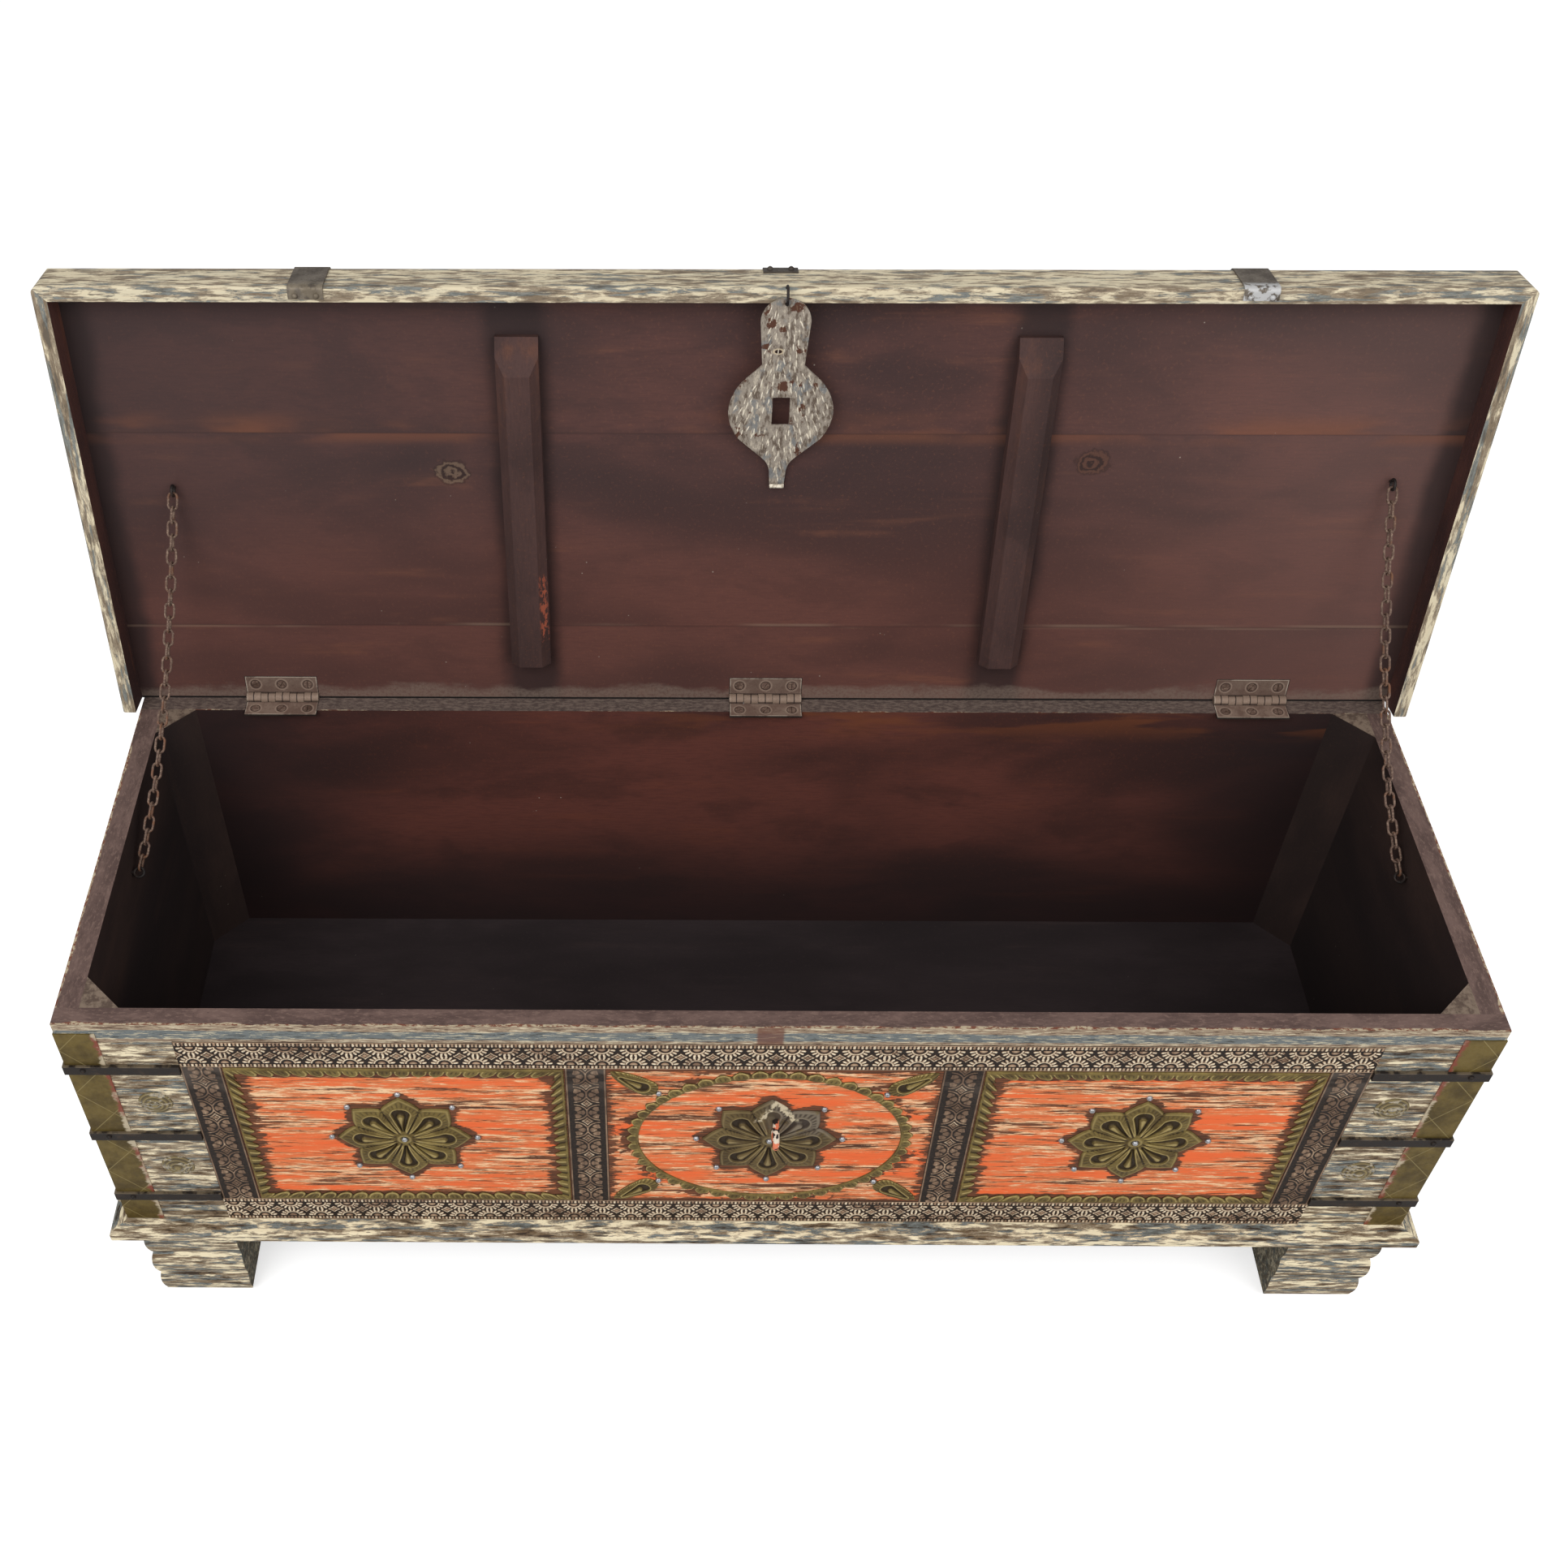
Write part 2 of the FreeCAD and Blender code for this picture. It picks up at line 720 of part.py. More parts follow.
def field_trims():
    for side in ("left", "right"):
        left, right, low, high = field_box(side)
        outer = Part.makePolygon([flat(left, low), flat(right, low), flat(right, high), flat(left, high), flat(left, low)])
        band = float(d.trim_band)
        corners = [
            flat(left + band, low + band), flat(right - band, low + band),
            flat(right - band, high - band), flat(left + band, high - band),
        ]
        points = []
        for index, corner in enumerate(corners):
            after = corners[(index + 1) % len(corners)]
            pitch = float(d.lobe_pitch) * (upright_share if index % 2 else 1)
            step = (after - corner).normalize() * (pitch / 2)
            points += spaced(corner + step, after - step, pitch)
            points.append(after - step)
        middle = flat((left + right) / 2, (low + high) / 2)
        inner = scalloped(points, middle, -float(d.lobe_reach))
        code_shape(front_plate(outer, float(d.brass_sheet), [inner]), f"scallop_trim_{side}")


def oval_trim():
    half_x = float(d.post_place - d.strip_width / 2 - d.oval_side)
    half_z = float(field_half - d.oval_rise)
    middle = flat(0, float(frame_middle))
    around = math.pi * (half_x + half_z)
    count = round(around / float(d.lobe_pitch))
    points = []
    for step in range(count):
        angle = 2 * math.pi * step / count
        points.append(middle + Vector(half_x * math.cos(angle), 0, half_z * math.sin(angle)))
    outer = scalloped(points, middle, float(d.lobe_reach))
    band = float(d.oval_band)
    axes = [Vector(half_x - band, 0, 0), Vector(0, 0, half_z - band)]
    axes.sort(key=lambda axis: -axis.Length)         # the longer half axis comes first
    inner = Part.Ellipse(middle + axes[0], middle + axes[1], middle)
    hole = Part.Wire([inner.toShape()])
    code_shape(front_plate(outer, float(d.brass_sheet), [hole]), "scallop_ring")


def petal_wire(middle):
    """Eight broad petals, each drawn to a point."""
    tip, valley = float(rosette_tip), float(rosette_tip) * valley_share
    shoulder_share = 0.97
    edges = []
    for petal in range(PETALS):
        angle = 2 * math.pi * petal / PETALS
        half = math.pi / PETALS
        point = middle + flat(tip * math.cos(angle), tip * math.sin(angle))
        for turn in (-1, 1):
            low = middle + flat(valley * math.cos(angle + turn * half), valley * math.sin(angle + turn * half))
            side_angle = angle + turn * half * 0.62
            reach = (tip + valley) / 2 * shoulder_share * 1.04
            shoulder = middle + flat(reach * math.cos(side_angle), reach * math.sin(side_angle))
            ends = (low, shoulder, point) if turn < 0 else (point, shoulder, low)
            edges.append(Part.Arc(*ends).toShape())
    return Part.Wire(edges)


def drop_wire(middle, angle):
    """A drop that points at the rosette's middle and ends in a round."""
    along = Vector(math.cos(angle), 0, math.sin(angle))
    across = Vector(-math.sin(angle), 0, math.cos(angle))
    tip = float(rosette_tip)
    start, end, radius = float(d.drop_start), tip * drop_end_share, tip * drop_round_share
    point = middle + along * start
    centre = middle + along * end
    lean = math.asin(radius / (end - start))
    touch = centre + across * (radius * math.cos(lean)) - along * (radius * math.sin(lean))
    other = centre - across * (radius * math.cos(lean)) - along * (radius * math.sin(lean))
    far = centre + along * radius
    return Part.Wire([
        Part.LineSegment(point, touch).toShape(),
        Part.Arc(touch, far, other).toShape(),
        Part.LineSegment(other, point).toShape(),
    ])


def rosettes():
    for label, across in (("left", -float(rosette_place)), ("centre", 0.0), ("right", float(rosette_place))):
        middle = flat(across, float(frame_middle))
        sheet_size = float(d.rosette_sheet)
        plate = front_plate(petal_wire(middle), sheet_size)
        raised = []
        for petal in range(PETALS):
            if label == "centre" and petal == 2:
                continue                     # the staple stands through this petal
            wire = drop_wire(middle, 2 * math.pi * petal / PETALS)
            raised.append(front_plate(wire, float(d.drop_height), level=sheet_size))
        boss_start = Vector(across, float(front) - sheet_size, float(frame_middle))
        raised.append(Part.makeCylinder(float(d.boss_radius), float(d.drop_height), boss_start, Vector(0, -1, 0)))
        shape = plate.multiFuse(raised)
        hole_start = Vector(across, float(front), float(frame_middle))
        hole_radius = float(d.pin_shank_radius + d.hole_gap)
        depth = sheet_size + float(d.drop_height)
        holes = [Part.makeCylinder(hole_radius, depth, hole_start, Vector(0, -1, 0))]
        if label == "centre":
            for height in staple_legs():
                size = float(d.staple_wire + d.hole_gap)
                start = Vector(float(d.hasp_place), float(front), height)
                holes.append(Part.makeCylinder(size, depth, start, Vector(0, -1, 0)))
        code_shape(shape.cut(Part.makeCompound(holes)).removeSplitter(), f"rosette_{label}")


def leaf_places():
    """Root of each corner leaf and the way it points, in degrees."""
    half = float(d.post_place - d.strip_width / 2 - d.leaf_corner)
    low = float(frame_lower + d.strip_width + d.leaf_corner)
    high = float(frame_upper - d.strip_width - d.leaf_corner)
    slant = float(d.leaf_slant)
    return [(-half, high, -slant), (-half, low, slant), (half, high, slant - 180), (half, low, 180 - slant)]


def leaf_pin_place(across, height):
    """The pin at a leaf's round end."""
    reach = float(leaf_length + d.pin_head_radius)
    slant = math.radians(float(d.leaf_slant))
    toward = -1 if across > 0 else 1
    down = -1 if height > float(frame_middle) else 1
    return across + toward * reach * math.cos(slant), height + down * reach * math.sin(slant)


def corner_leaves():
    """Four drop-shaped brass leaves point out of the middle field's corners."""
    leaves = []
    for across, height, slant in leaf_places():
        root = flat(across, height)
        angle = math.radians(slant)
        along = Vector(math.cos(angle), 0, math.sin(angle))
        side = Vector(-math.sin(angle), 0, math.cos(angle))
        length, half = float(leaf_length), float(d.leaf_half)
        belly = length - half
        left = root + along * belly + side * half
        right = root + along * belly - side * half
        swell_share = 0.55
        left_way = root + along * (belly / 2) + side * (half * swell_share * 1.5)
        right_way = root + along * (belly / 2) - side * (half * swell_share * 1.5)
        wire = Part.Wire([
            Part.Arc(root, left_way, left).toShape(),
            Part.Arc(left, root + along * length, right).toShape(),
            Part.Arc(right, right_way, root).toShape(),
        ])
        leaves.append(front_plate(wire, float(d.brass_sheet)))
    code_shape(Part.makeCompound(leaves), "corner_leaves")


def rosette_pins():
    pin = nail(float(d.pin_head_radius), float(d.pin_shank_radius), float(d.pin_length))
    raised = float(d.rosette_sheet + d.drop_height)
    pins = []
    for across, height in pin_places():
        at_middle = height == float(frame_middle) and abs(abs(across) % float(rosette_place)) == 0
        lift = raised if at_middle else 0
        pins.append(placed_copy(pin, Vector(across, float(front) - lift, height), OUT_OF_FRONT))
    for across, height, _ in leaf_places():
        pin_across, pin_height = leaf_pin_place(across, height)
        pins.append(placed_copy(pin, Vector(pin_across, float(front), pin_height), OUT_OF_FRONT))
    code_shape(Part.makeCompound(pins), "silver_pins")


def corner_wraps():
    """Brass sheet bent round both front corners, from below the rim to the moulding."""
    sheet_size, width = d.brass_sheet, d.wrap_width
    bend = [
        (0, 0), (width, 0), (width, sheet_size), (sheet_size, sheet_size),
        (sheet_size, width), (0, width),
    ]
    height = rim - d.wrap_top - moulding_top
    for label, x, turn in (("left", -half_width - sheet_size, 0), ("right", half_width + sheet_size, 90)):
        body = prism("XY_Plane", bend, height)
        place(body, x, front - sheet_size, moulding_top, turn=turn)
        keep(body, f"corner_wrap_{label}")


def band_heights():
    return [rim - d.band_first - band_pitch * step for step in range(BANDS)]


def iron_bands():
    """Three flat iron bands lie over each wrap, from the frame round to the box's end."""
    stand = d.band_sheet + d.brass_sheet
    reach = half_width + stand - frame_half
    side = d.band_side
    step = d.band_sheet + d.wrap_width + d.hole_gap
    inner = d.band_sheet
    shape = [
        (0, 0), (reach, 0), (reach, stand), (step, stand), (step, inner), (inner, inner),
        (inner, step), (stand, step), (stand, side), (0, side),
    ]
    bands = []
    for height in band_heights():
        for x, turn in ((-half_width - stand, 0), (half_width + stand, 90)):
            if turn:
                turned = [(up, across) for across, up in reversed(shape)]
            else:
                turned = shape
            body = prism("XY_Plane", turned, d.band_height)
            place(body, x, front - stand, height - d.band_height / 2, turn=turn)
            bands.append(body)
    keep(group(bands), "iron_bands")


def band_nails():
    """Round-headed nails near the outer end of each band; their shanks are in the wood."""
    radius = float(d.band_nail_radius)
    dome = Part.makeSphere(radius, Vector(), Vector(0, 0, 1), 0, 90, 360)
    stand = float(d.band_sheet + d.brass_sheet)
    heads = []
    for height in band_heights():
        for side in (-1, 1):
            across = side * float(half_width - d.band_nail_edge)
            heads.append(placed_copy(dome, Vector(across, float(front) - stand, float(height)), OUT_OF_FRONT))
    code_shape(Part.makeCompound(heads), "band_nails")


def stud_places():
    heights = [float(rim - d.band_first - band_pitch * (step + 0.5)) for step in range(BANDS - 1)]
    return [(side * float(stud_place), height) for side in (-1, 1) for height in heights]


def brass_studs():
    stud = nail(float(d.stud_radius), float(d.stud_shank_radius), float(d.pin_length), float(d.stud_height))
    studs = []
    for across, height in stud_places():
        studs.append(placed_copy(stud, Vector(across, float(front), height), OUT_OF_FRONT))
    code_shape(Part.makeCompound(studs), "brass_studs")


# Hinges

def hinge_leaf(label, middle, turns, below):
    """A leaf with its knuckles on the pin line; the other leaf's knuckles go between."""
    step = d.leaf_width / KNUCKLES
    start = middle - d.leaf_width / 2
    level = rim - d.leaf_sheet if below else lid_under
    pieces = [box(d.leaf_width, d.leaf_depth, d.leaf_sheet, start, back - d.leaf_depth, level)]
    gaps = []
    for index in range(KNUCKLES):
        first = start + step * index
        if index in turns:
            pieces.append(cylinder(d.knuckle_radius, step, "x", first, back, pin_line))
        else:
            size = d.knuckle_radius + d.knuckle_gap * 2
            gaps.append(cylinder(size, step + d.knuckle_gap * 2, "x", first - d.knuckle_gap, back, pin_line))
    gaps.append(cylinder(d.hinge_pin_radius + d.running_gap, d.leaf_width, "x", start, back, pin_line))
    for across in screw_places(middle):
        size = d.screw_head_radius + d.hole_gap
        gaps.append(cylinder(size, d.leaf_sheet, "z", across, back - d.screw_edge, level))
    leaf = cut(fuse(pieces), gaps)
    if not below:
        place(leaf, 0, 0, 0, on_lid=True)
    keep(leaf, label)


def hinges():
    even = [index for index in range(KNUCKLES) if index % 2 == 0]
    odd = [index for index in range(KNUCKLES) if index % 2 == 1]
    for label, middle in hinge_places():
        hinge_leaf(f"hinge_box_leaf_{label}", middle, even, below=True)
        hinge_leaf(f"hinge_lid_leaf_{label}", middle, odd, below=False)


def hinge_pins():
    pins = []
    for _, middle in hinge_places():
        start = middle - d.leaf_width / 2
        pins.append(cylinder(d.hinge_pin_radius, d.leaf_width, "x", start, back, pin_line))
    keep(group(pins), "hinge_pins")


def screw():
    """A slotted flat screw whose head is flush with Z = 0 and which points down."""
    thick = float(d.leaf_sheet)
    head = Part.makeCylinder(float(d.screw_head_radius), thick, Vector(0, 0, -thick))
    shank = Part.makeCylinder(float(d.screw_shank_radius), float(d.screw_length), Vector(), Vector(0, 0, -1))
    wide = float(d.screw_head_radius) * 2
    slot_width = float(d.screw_slot)
    slot = Part.makeBox(wide, slot_width, slot_width, Vector(-wide / 2, -slot_width / 2, -slot_width))
    return head.fuse(shank).cut(slot)


def hinge_screws():
    one = screw()
    lower, upper = [], []
    turned = Rotation(Vector(1, 0, 0), 180)
    for _, middle in hinge_places():
        for order, across in enumerate(screw_places(middle)):
            spin = Rotation(Vector(0, 0, 1), 35 * order + 20)
            place_y = float(back - d.screw_edge)
            lower.append(placed_copy(one, Vector(float(across), place_y, float(rim)), spin))
            upper.append(placed_copy(one, Vector(float(across), place_y, float(lid_under)), turned.multiply(spin)))
    code_shape(Part.makeCompound(lower), "box_hinge_screws")
    code_shape(Part.makeCompound(upper), "lid_hinge_screws", on_lid=True)


# Lid

def lid_boards():
    """Three planks side by side; the hinges are let into the back one."""
    inside = half_width + d.rail_gap
    width = inside * 2
    depth = d.box_depth + d.rail_gap
    front_plank = depth - d.back_plank - d.middle_plank
    seam = back - d.back_plank - d.middle_plank
    plank = box(width, front_plank, d.lid_board, -inside, front - d.rail_gap, lid_under)
    fitted(plank, [], "lid_board_front")
    size = d.eye_wire + d.hole_gap
    holes = []
    for across, run in (lid_eye_place(-1), lid_eye_place(1)):
        holes.append(cylinder(size, d.eye_shank + d.hole_gap, "z", across, back - run, lid_under))
    fitted(box(width, d.middle_plank, d.lid_board, -inside, seam, lid_under), holes, "lid_board_middle")
    # Its back edge runs a hair past the pins, so that no light shows under the open lid.
    plank = box(width, d.back_plank + lid_tuck, d.lid_board, -inside, back - d.back_plank, lid_under)
    fitted(plank, hinge_housings(below=False), "lid_board_back")


def fitted(whole, tools, label):
    """Cuts what a lid piece needs, then opens it with the lid."""
    item = cut(whole, tools) if tools else group([whole])
    place(item, 0, 0, 0, on_lid=True)
    keep(item, label)


def rail_profile():
    """Section of a lid rail, with its outer face on 0: rounded above, eased below."""
    thick = d.rail_board
    height = d.lid_board + d.lid_skirt
    over, under = d.rail_round, d.rail_ease
    return [
        (thick, height),
        (over, height, over, 1),
        (0, height - over),
        (0, under, under, 1),
        (under, 0),
        (thick, 0),
    ]


def near_end(body):
    """Mitres a rail's first end and rounds the lid's corner there."""
    thick, turn = d.rail_board, d.lid_corner
    height = d.lid_board + d.lid_skirt
    pocket(body, "XY_Plane", [(0, 0), (thick, thick), (0, thick)], height, reverse=True)
    pocket(body, "XY_Plane", [(0, 0), (turn, 0, turn, -1), (0, turn)], height, reverse=True)


def far_end(body, run):
    """Mitres a rail's last end and rounds the lid's corner there."""
    thick, turn = d.rail_board, d.lid_corner
    height = d.lid_board + d.lid_skirt
    pocket(body, "XY_Plane", [(run, 0), (run, thick), (run - thick, thick)], height, reverse=True)
    pocket(body, "XY_Plane", [(run, 0), (run, turn, turn, -1), (run - turn, 0)], height, reverse=True)


def lid_rails():
    """Rails on the front and both ends, mitred at the front corners."""
    thick = d.rail_board
    long_run = (half_width + d.rail_gap + thick) * 2
    short_run = lid_reach
    body = prism("YZ_Plane", rail_profile(), long_run)
    near_end(body)
    far_end(body, long_run)
    place(body, rail_left, rail_front, rail_bottom)
    ring = doc.addObject("Part::Torus", "Ring")
    bind(ring, "Radius1", d.link_radius)
    bind(ring, "Radius2", d.link_wire + d.link_gap)
    ring.Placement = Placement(Vector(), Rotation(Vector(0, 1, 0), 90))
    for axis, size in (("x", d.hasp_place), ("y", link_middle_y), ("z", link_middle_z)):
        ring.setExpression(f"Placement.Base.{axis}", text_of(size))
    fitted(body, [ring], "lid_rail_front")
    right = prism("YZ_Plane", rail_profile(), short_run)
    near_end(right)
    place(right, -rail_left, rail_front, rail_bottom, turn=90)
    fitted(right, [], "lid_rail_right")
    left = prism("YZ_Plane", rail_profile(), short_run)
    far_end(left, short_run)
    place(left, rail_left, back, rail_bottom, turn=270)
    fitted(left, [], "lid_rail_left")


def lid_battens():
    """Two battens under the lid, chamfered along and bevelled at the front end."""
    width, deep, edge = d.batten_width, d.batten_height, d.batten_chamfer
    section = [(edge, 0), (width - edge, 0), (width, edge), (width, deep), (0, deep), (0, edge)]
    bevel_rise = deep * 0.75
    for label, middle in (("left", -batten_place), ("right", batten_place)):
        body = prism("XZ_Plane", section, batten_length, reverse=True)
        bevel = [(0, 0), (d.batten_bevel, 0), (0, bevel_rise)]
        pocket(body, "YZ_Plane", bevel, width, reverse=True)
        y = back - d.batten_back - batten_length
        place(body, middle - width / 2, y, lid_under - deep, on_lid=True)
        keep(body, f"lid_batten_{label}")


def strap_middles():
    return -strap_place, strap_place * 0, strap_place


def long_strap_side():
    """Side view of an outer strap: over the lid, down its front and under the rail."""
    sheet_size, curve, ease = d.strap_sheet, d.rail_round, d.rail_ease
    tall = d.lid_board + d.lid_skirt + sheet_size
    run = lid_reach + sheet_size
    lap = sheet_size + d.strap_lap
    return [
        (lap, sheet_size),
        (sheet_size + ease, sheet_size, ease, -1),
        (sheet_size, sheet_size + ease),
        (sheet_size, tall - curve, curve, -1),
        (sheet_size + curve, tall),
        (run, tall),
        (run, tall + sheet_size),
        (sheet_size + curve, tall + sheet_size, curve + sheet_size, 1),
        (0, tall - curve),
        (0, sheet_size + ease, sheet_size + ease, 1),
        (sheet_size + ease, 0),
        (lap, 0),
    ]


def short_strap_side():
    """Side view of the middle strap, which ends on the rail above the hasp."""
    sheet_size, curve, drop = d.strap_sheet, d.rail_round, d.middle_strap_drop
    run = lid_reach + sheet_size
    return [
        (sheet_size, 0),
        (sheet_size, drop - curve, curve, -1),
        (sheet_size + curve, drop),
        (run, drop),
        (run, drop + sheet_size),
        (sheet_size + curve, drop + sheet_size, curve + sheet_size, 1),
        (0, drop - curve),
        (0, 0),
    ]


def lid_straps():
    """Iron straps run over the lid from its back edge and bend down over the front rail."""
    straps = []
    for middle in strap_middles():
        if float(middle) == 0:
            side, level = short_strap_side(), lid_top - d.middle_strap_drop
        else:
            side, level = long_strap_side(), rail_bottom - d.strap_sheet
        body = prism("YZ_Plane", side, d.strap_width)
        place(body, middle - d.strap_width / 2, rail_front - d.strap_sheet, level)
        straps.append(body)
    fitted(group(straps), [], "lid_straps")


def strap_nails():
    """Two nails close each strap's front end, and three hold it along the top."""
    radius = float(d.band_nail_radius)
    dome = Part.makeSphere(radius, Vector(), Vector(0, 0, 1), 0, 90, 360)
    heads = []
    downwards = Rotation(Vector(1, 0, 0), 180)
    upper = float(lid_top + d.strap_sheet)
    for middle in strap_middles():
        for side in (-0.5, 0.5):
            across = float(middle) + side * float(d.strap_nail_pitch)
            if float(middle) == 0:
                height = float(lid_top - d.middle_strap_drop + d.strap_nail_edge)
                spot, turn = Vector(across, float(rail_front - d.strap_sheet), height), OUT_OF_FRONT
            else:
                run = float(rail_front + d.strap_lap - d.strap_nail_edge / 2)
                spot, turn = Vector(across, run, float(rail_bottom - d.strap_sheet)), downwards
            heads.append(placed_copy(dome, spot, turn))
        for row in range(3):
            y = float(back) - float(d.strap_nail_row) * (row + 0.5)
            heads.append(placed_copy(dome, Vector(float(middle), y, upper), Rotation()))
    code_shape(Part.makeCompound(heads), "strap_nails", on_lid=True)


# Hasp and staple

def hasp_staple():
    """A bent wire whose two legs go through the front board, above each other."""
    wire = float(d.staple_wire)
    upper, lower = staple_legs()
    across = float(d.hasp_place)
    turn = (upper - lower) / 2
    outer = float(front) - float(d.staple_reach) + wire + turn
    inner = float(front + d.board)
    path = Part.Wire([
        Part.LineSegment(Vector(across, inner, upper), Vector(across, outer, upper)).toShape(),
        Part.Arc(Vector(across, outer, upper), Vector(across, outer - turn, (upper + lower) / 2),
                 Vector(across, outer, lower)).toShape(),
        Part.LineSegment(Vector(across, outer, lower), Vector(across, inner, lower)).toShape(),
    ])
    section = Part.Wire([Part.Circle(Vector(across, inner, upper), Vector(0, 1, 0), wire).toShape()])
    code_shape(path.makePipeShell([section], True, False), "hasp_staple")


def hasp_ring():
    ring = doc.addObject("Part::Torus", "Ring")
    bind(ring, "Radius1", d.link_radius)
    bind(ring, "Radius2", d.link_wire)
    ring.Placement = Placement(Vector(), Rotation(Vector(0, 1, 0), 90))
    y, z = opened(link_middle_y, link_middle_z)
    for axis, size in (("x", d.hasp_place), ("y", y), ("z", z)):
        ring.setExpression(f"Placement.Base.{axis}", text_of(size))
    keep(ring, "hasp_ring")


def hasp_outline():
    """Right half of the hasp from its upper end down, each with the bow of the way there."""
    top = float(d.hasp_top_radius)
    above = float(d.hasp_above)
    quarter_bow = (1 - math.sqrt(0.5)) / math.sqrt(2)
    return [
        (0, above, 0),
        (top, above - top, quarter_bow),
        (float(d.hasp_neck), -float(hasp_neck_drop), 0),
        (float(d.hasp_shoulder), -float(hasp_shoulder_drop), 0),
        (float(d.hasp_body), -float(hasp_slot_drop), 0.1),
        (float(d.hasp_hip), -float(hasp_hip_drop), 0.075),
        (float(d.hasp_waist), -float(hasp_waist_drop), 0),
        (float(d.hasp_tail), -float(hasp_tail_drop), -0.09),
        (float(d.hasp_end), -float(hasp_length), 0),
    ]


def hasp_plate():
    """Spade-shaped plate that hangs plumb from its ring, with a slot for the staple."""
    y, z = opened(link_middle_y, link_middle_z)
    hole = Vector(float(d.hasp_place), float(y), float(z) - float(d.link_radius))
    sheet_size = float(d.hasp_sheet)
    rows = hasp_outline()

    def at(across, up, side):
        return hole + Vector(side * across, -sheet_size / 2, up)

    edges = []
    for side in (1, -1):
        for (across, up, _), (far, low, bow) in zip(rows, rows[1:]):
            first, last = at(across, up, side), at(far, low, side)
            if bow:
                way = at((across + far) / 2 + (up - low) * bow, (up + low) / 2 + (far - across) * bow, side)
                edges.append(Part.Arc(first, way, last).toShape())
            else:
                edges.append(Part.LineSegment(first, last).toShape())
    end, low, _ = rows[-1]
    edges.append(Part.LineSegment(at(end, low, 1), at(end, low, -1)).toShape())
    outer = Part.Wire(Part.__sortEdges__(edges))
    plate = Part.Face(outer).extrude(Vector(0, sheet_size, 0))
    slot = Part.makeBox(
        float(d.slot_width), sheet_size * 2, float(d.slot_height),
        hole + Vector(-float(d.slot_width) / 2, -sheet_size, -float(hasp_slot_drop + d.slot_height / 2)),
    )
    eye = Part.makeCylinder(
        float(d.link_wire + d.link_gap * 2), sheet_size * 2, hole - Vector(0, sheet_size, 0), Vector(0, 1, 0)
    )
    code_shape(plate.cut(Part.makeCompound([slot, eye])), "hasp_plate")


# Chains

def screw_eye():
    """An eye on Z above its shank: the ring lies in the XZ plane, the wood is below 0."""
    stand = float(d.eye_stand)
    radius, wire = float(d.eye_radius), float(d.eye_wire)
    ring = Part.makeTorus(radius, wire, Vector(0, 0, stand), Vector(0, 1, 0))
    shank = Part.makeCylinder(wire, float(d.eye_shank) + stand - radius, Vector(0, 0, stand - radius), Vector(0, 0, -1))
    return ring.fuse(shank)


def lid_eye_place(side):
    """Where an eye sits on the lid: across, and its way from the hinge pins."""
    if side < 0:
        return d.lid_eye_left_edge - half_width, d.lid_eye_left_run
    return half_width - d.lid_eye_right_edge, d.lid_eye_right_run


def lid_eye_middle(side):
    """Middle of an eye's ring on the open lid."""
    across, run = lid_eye_place(side)
    y, z = opened(back - run, lid_under - d.eye_stand)
    return Vector(float(across), float(y), float(z))


def box_eye_middle(side):
    across = float(half_width - d.side_board - d.eye_stand)
    return Vector(side * across, float(back - d.box_eye_back), float(rim - d.box_eye_drop))


def chain_way(side):
    """The way in which the slack chain leaves the box's eye."""
    start = box_eye_middle(side)
    return chain_point(start, lid_eye_middle(side), chain_end_share) - start


def chain_eyes():
    """Eyes on the lid stand in the plane of the chain's pull; so do the box's."""
    eye = screw_eye()
    upper, lower = [], []
    for side in (-1, 1):
        across, run = lid_eye_place(side)
        seat = Vector(float(across), float(back - run), float(lid_under))
        down = Rotation(Vector(1, 0, 0), 180).multiply(Rotation(Vector(0, 0, 1), 90))
        upper.append(placed_copy(eye, seat, down))
        wall = Vector(side * float(half_width - d.side_board), float(back - d.box_eye_back), float(rim - d.box_eye_drop))
        way = chain_way(side)
        pull = Vector(0, way.y, way.z).normalize()
        out = Vector(-side, 0, 0)
        turn = Rotation(pull, out.cross(pull), out, "XZY")
        lower.append(placed_copy(eye, wall, turn))
    code_shape(Part.makeCompound(upper), "lid_chain_eyes", on_lid=True)
    code_shape(Part.makeCompound(lower), "box_chain_eyes")


def chain_point(first, last, share):
    """A slack chain's line: straight from end to end, less a parabola of sag."""
    drop = 4 * float(d.chain_sag) * share * (1 - share)
    return first + (last - first) * share - Vector(0, 0, drop)


def chain_joints(first, last):
    """Evenly spaced joints along the slack line, one more than there are links."""
    fine = 400
    points = [chain_point(first, last, step / fine) for step in range(fine + 1)]
    lengths = [0.0]
    for before, after in zip(points, points[1:]):
        lengths.append(lengths[-1] + (after - before).Length)
    joints = []
    step = 0
    for link in range(CHAIN_LINKS + 1):
        goal = lengths[-1] * link / CHAIN_LINKS
        while step < fine and lengths[step + 1] < goal:
            step += 1
        gap = lengths[step + 1] - lengths[step] if step < fine else 1
        part = (goal - lengths[step]) / gap if step < fine else 0
        end = points[min(step + 1, fine)]
        joints.append(points[step] + (end - points[step]) * part)
    return joints, lengths[-1]


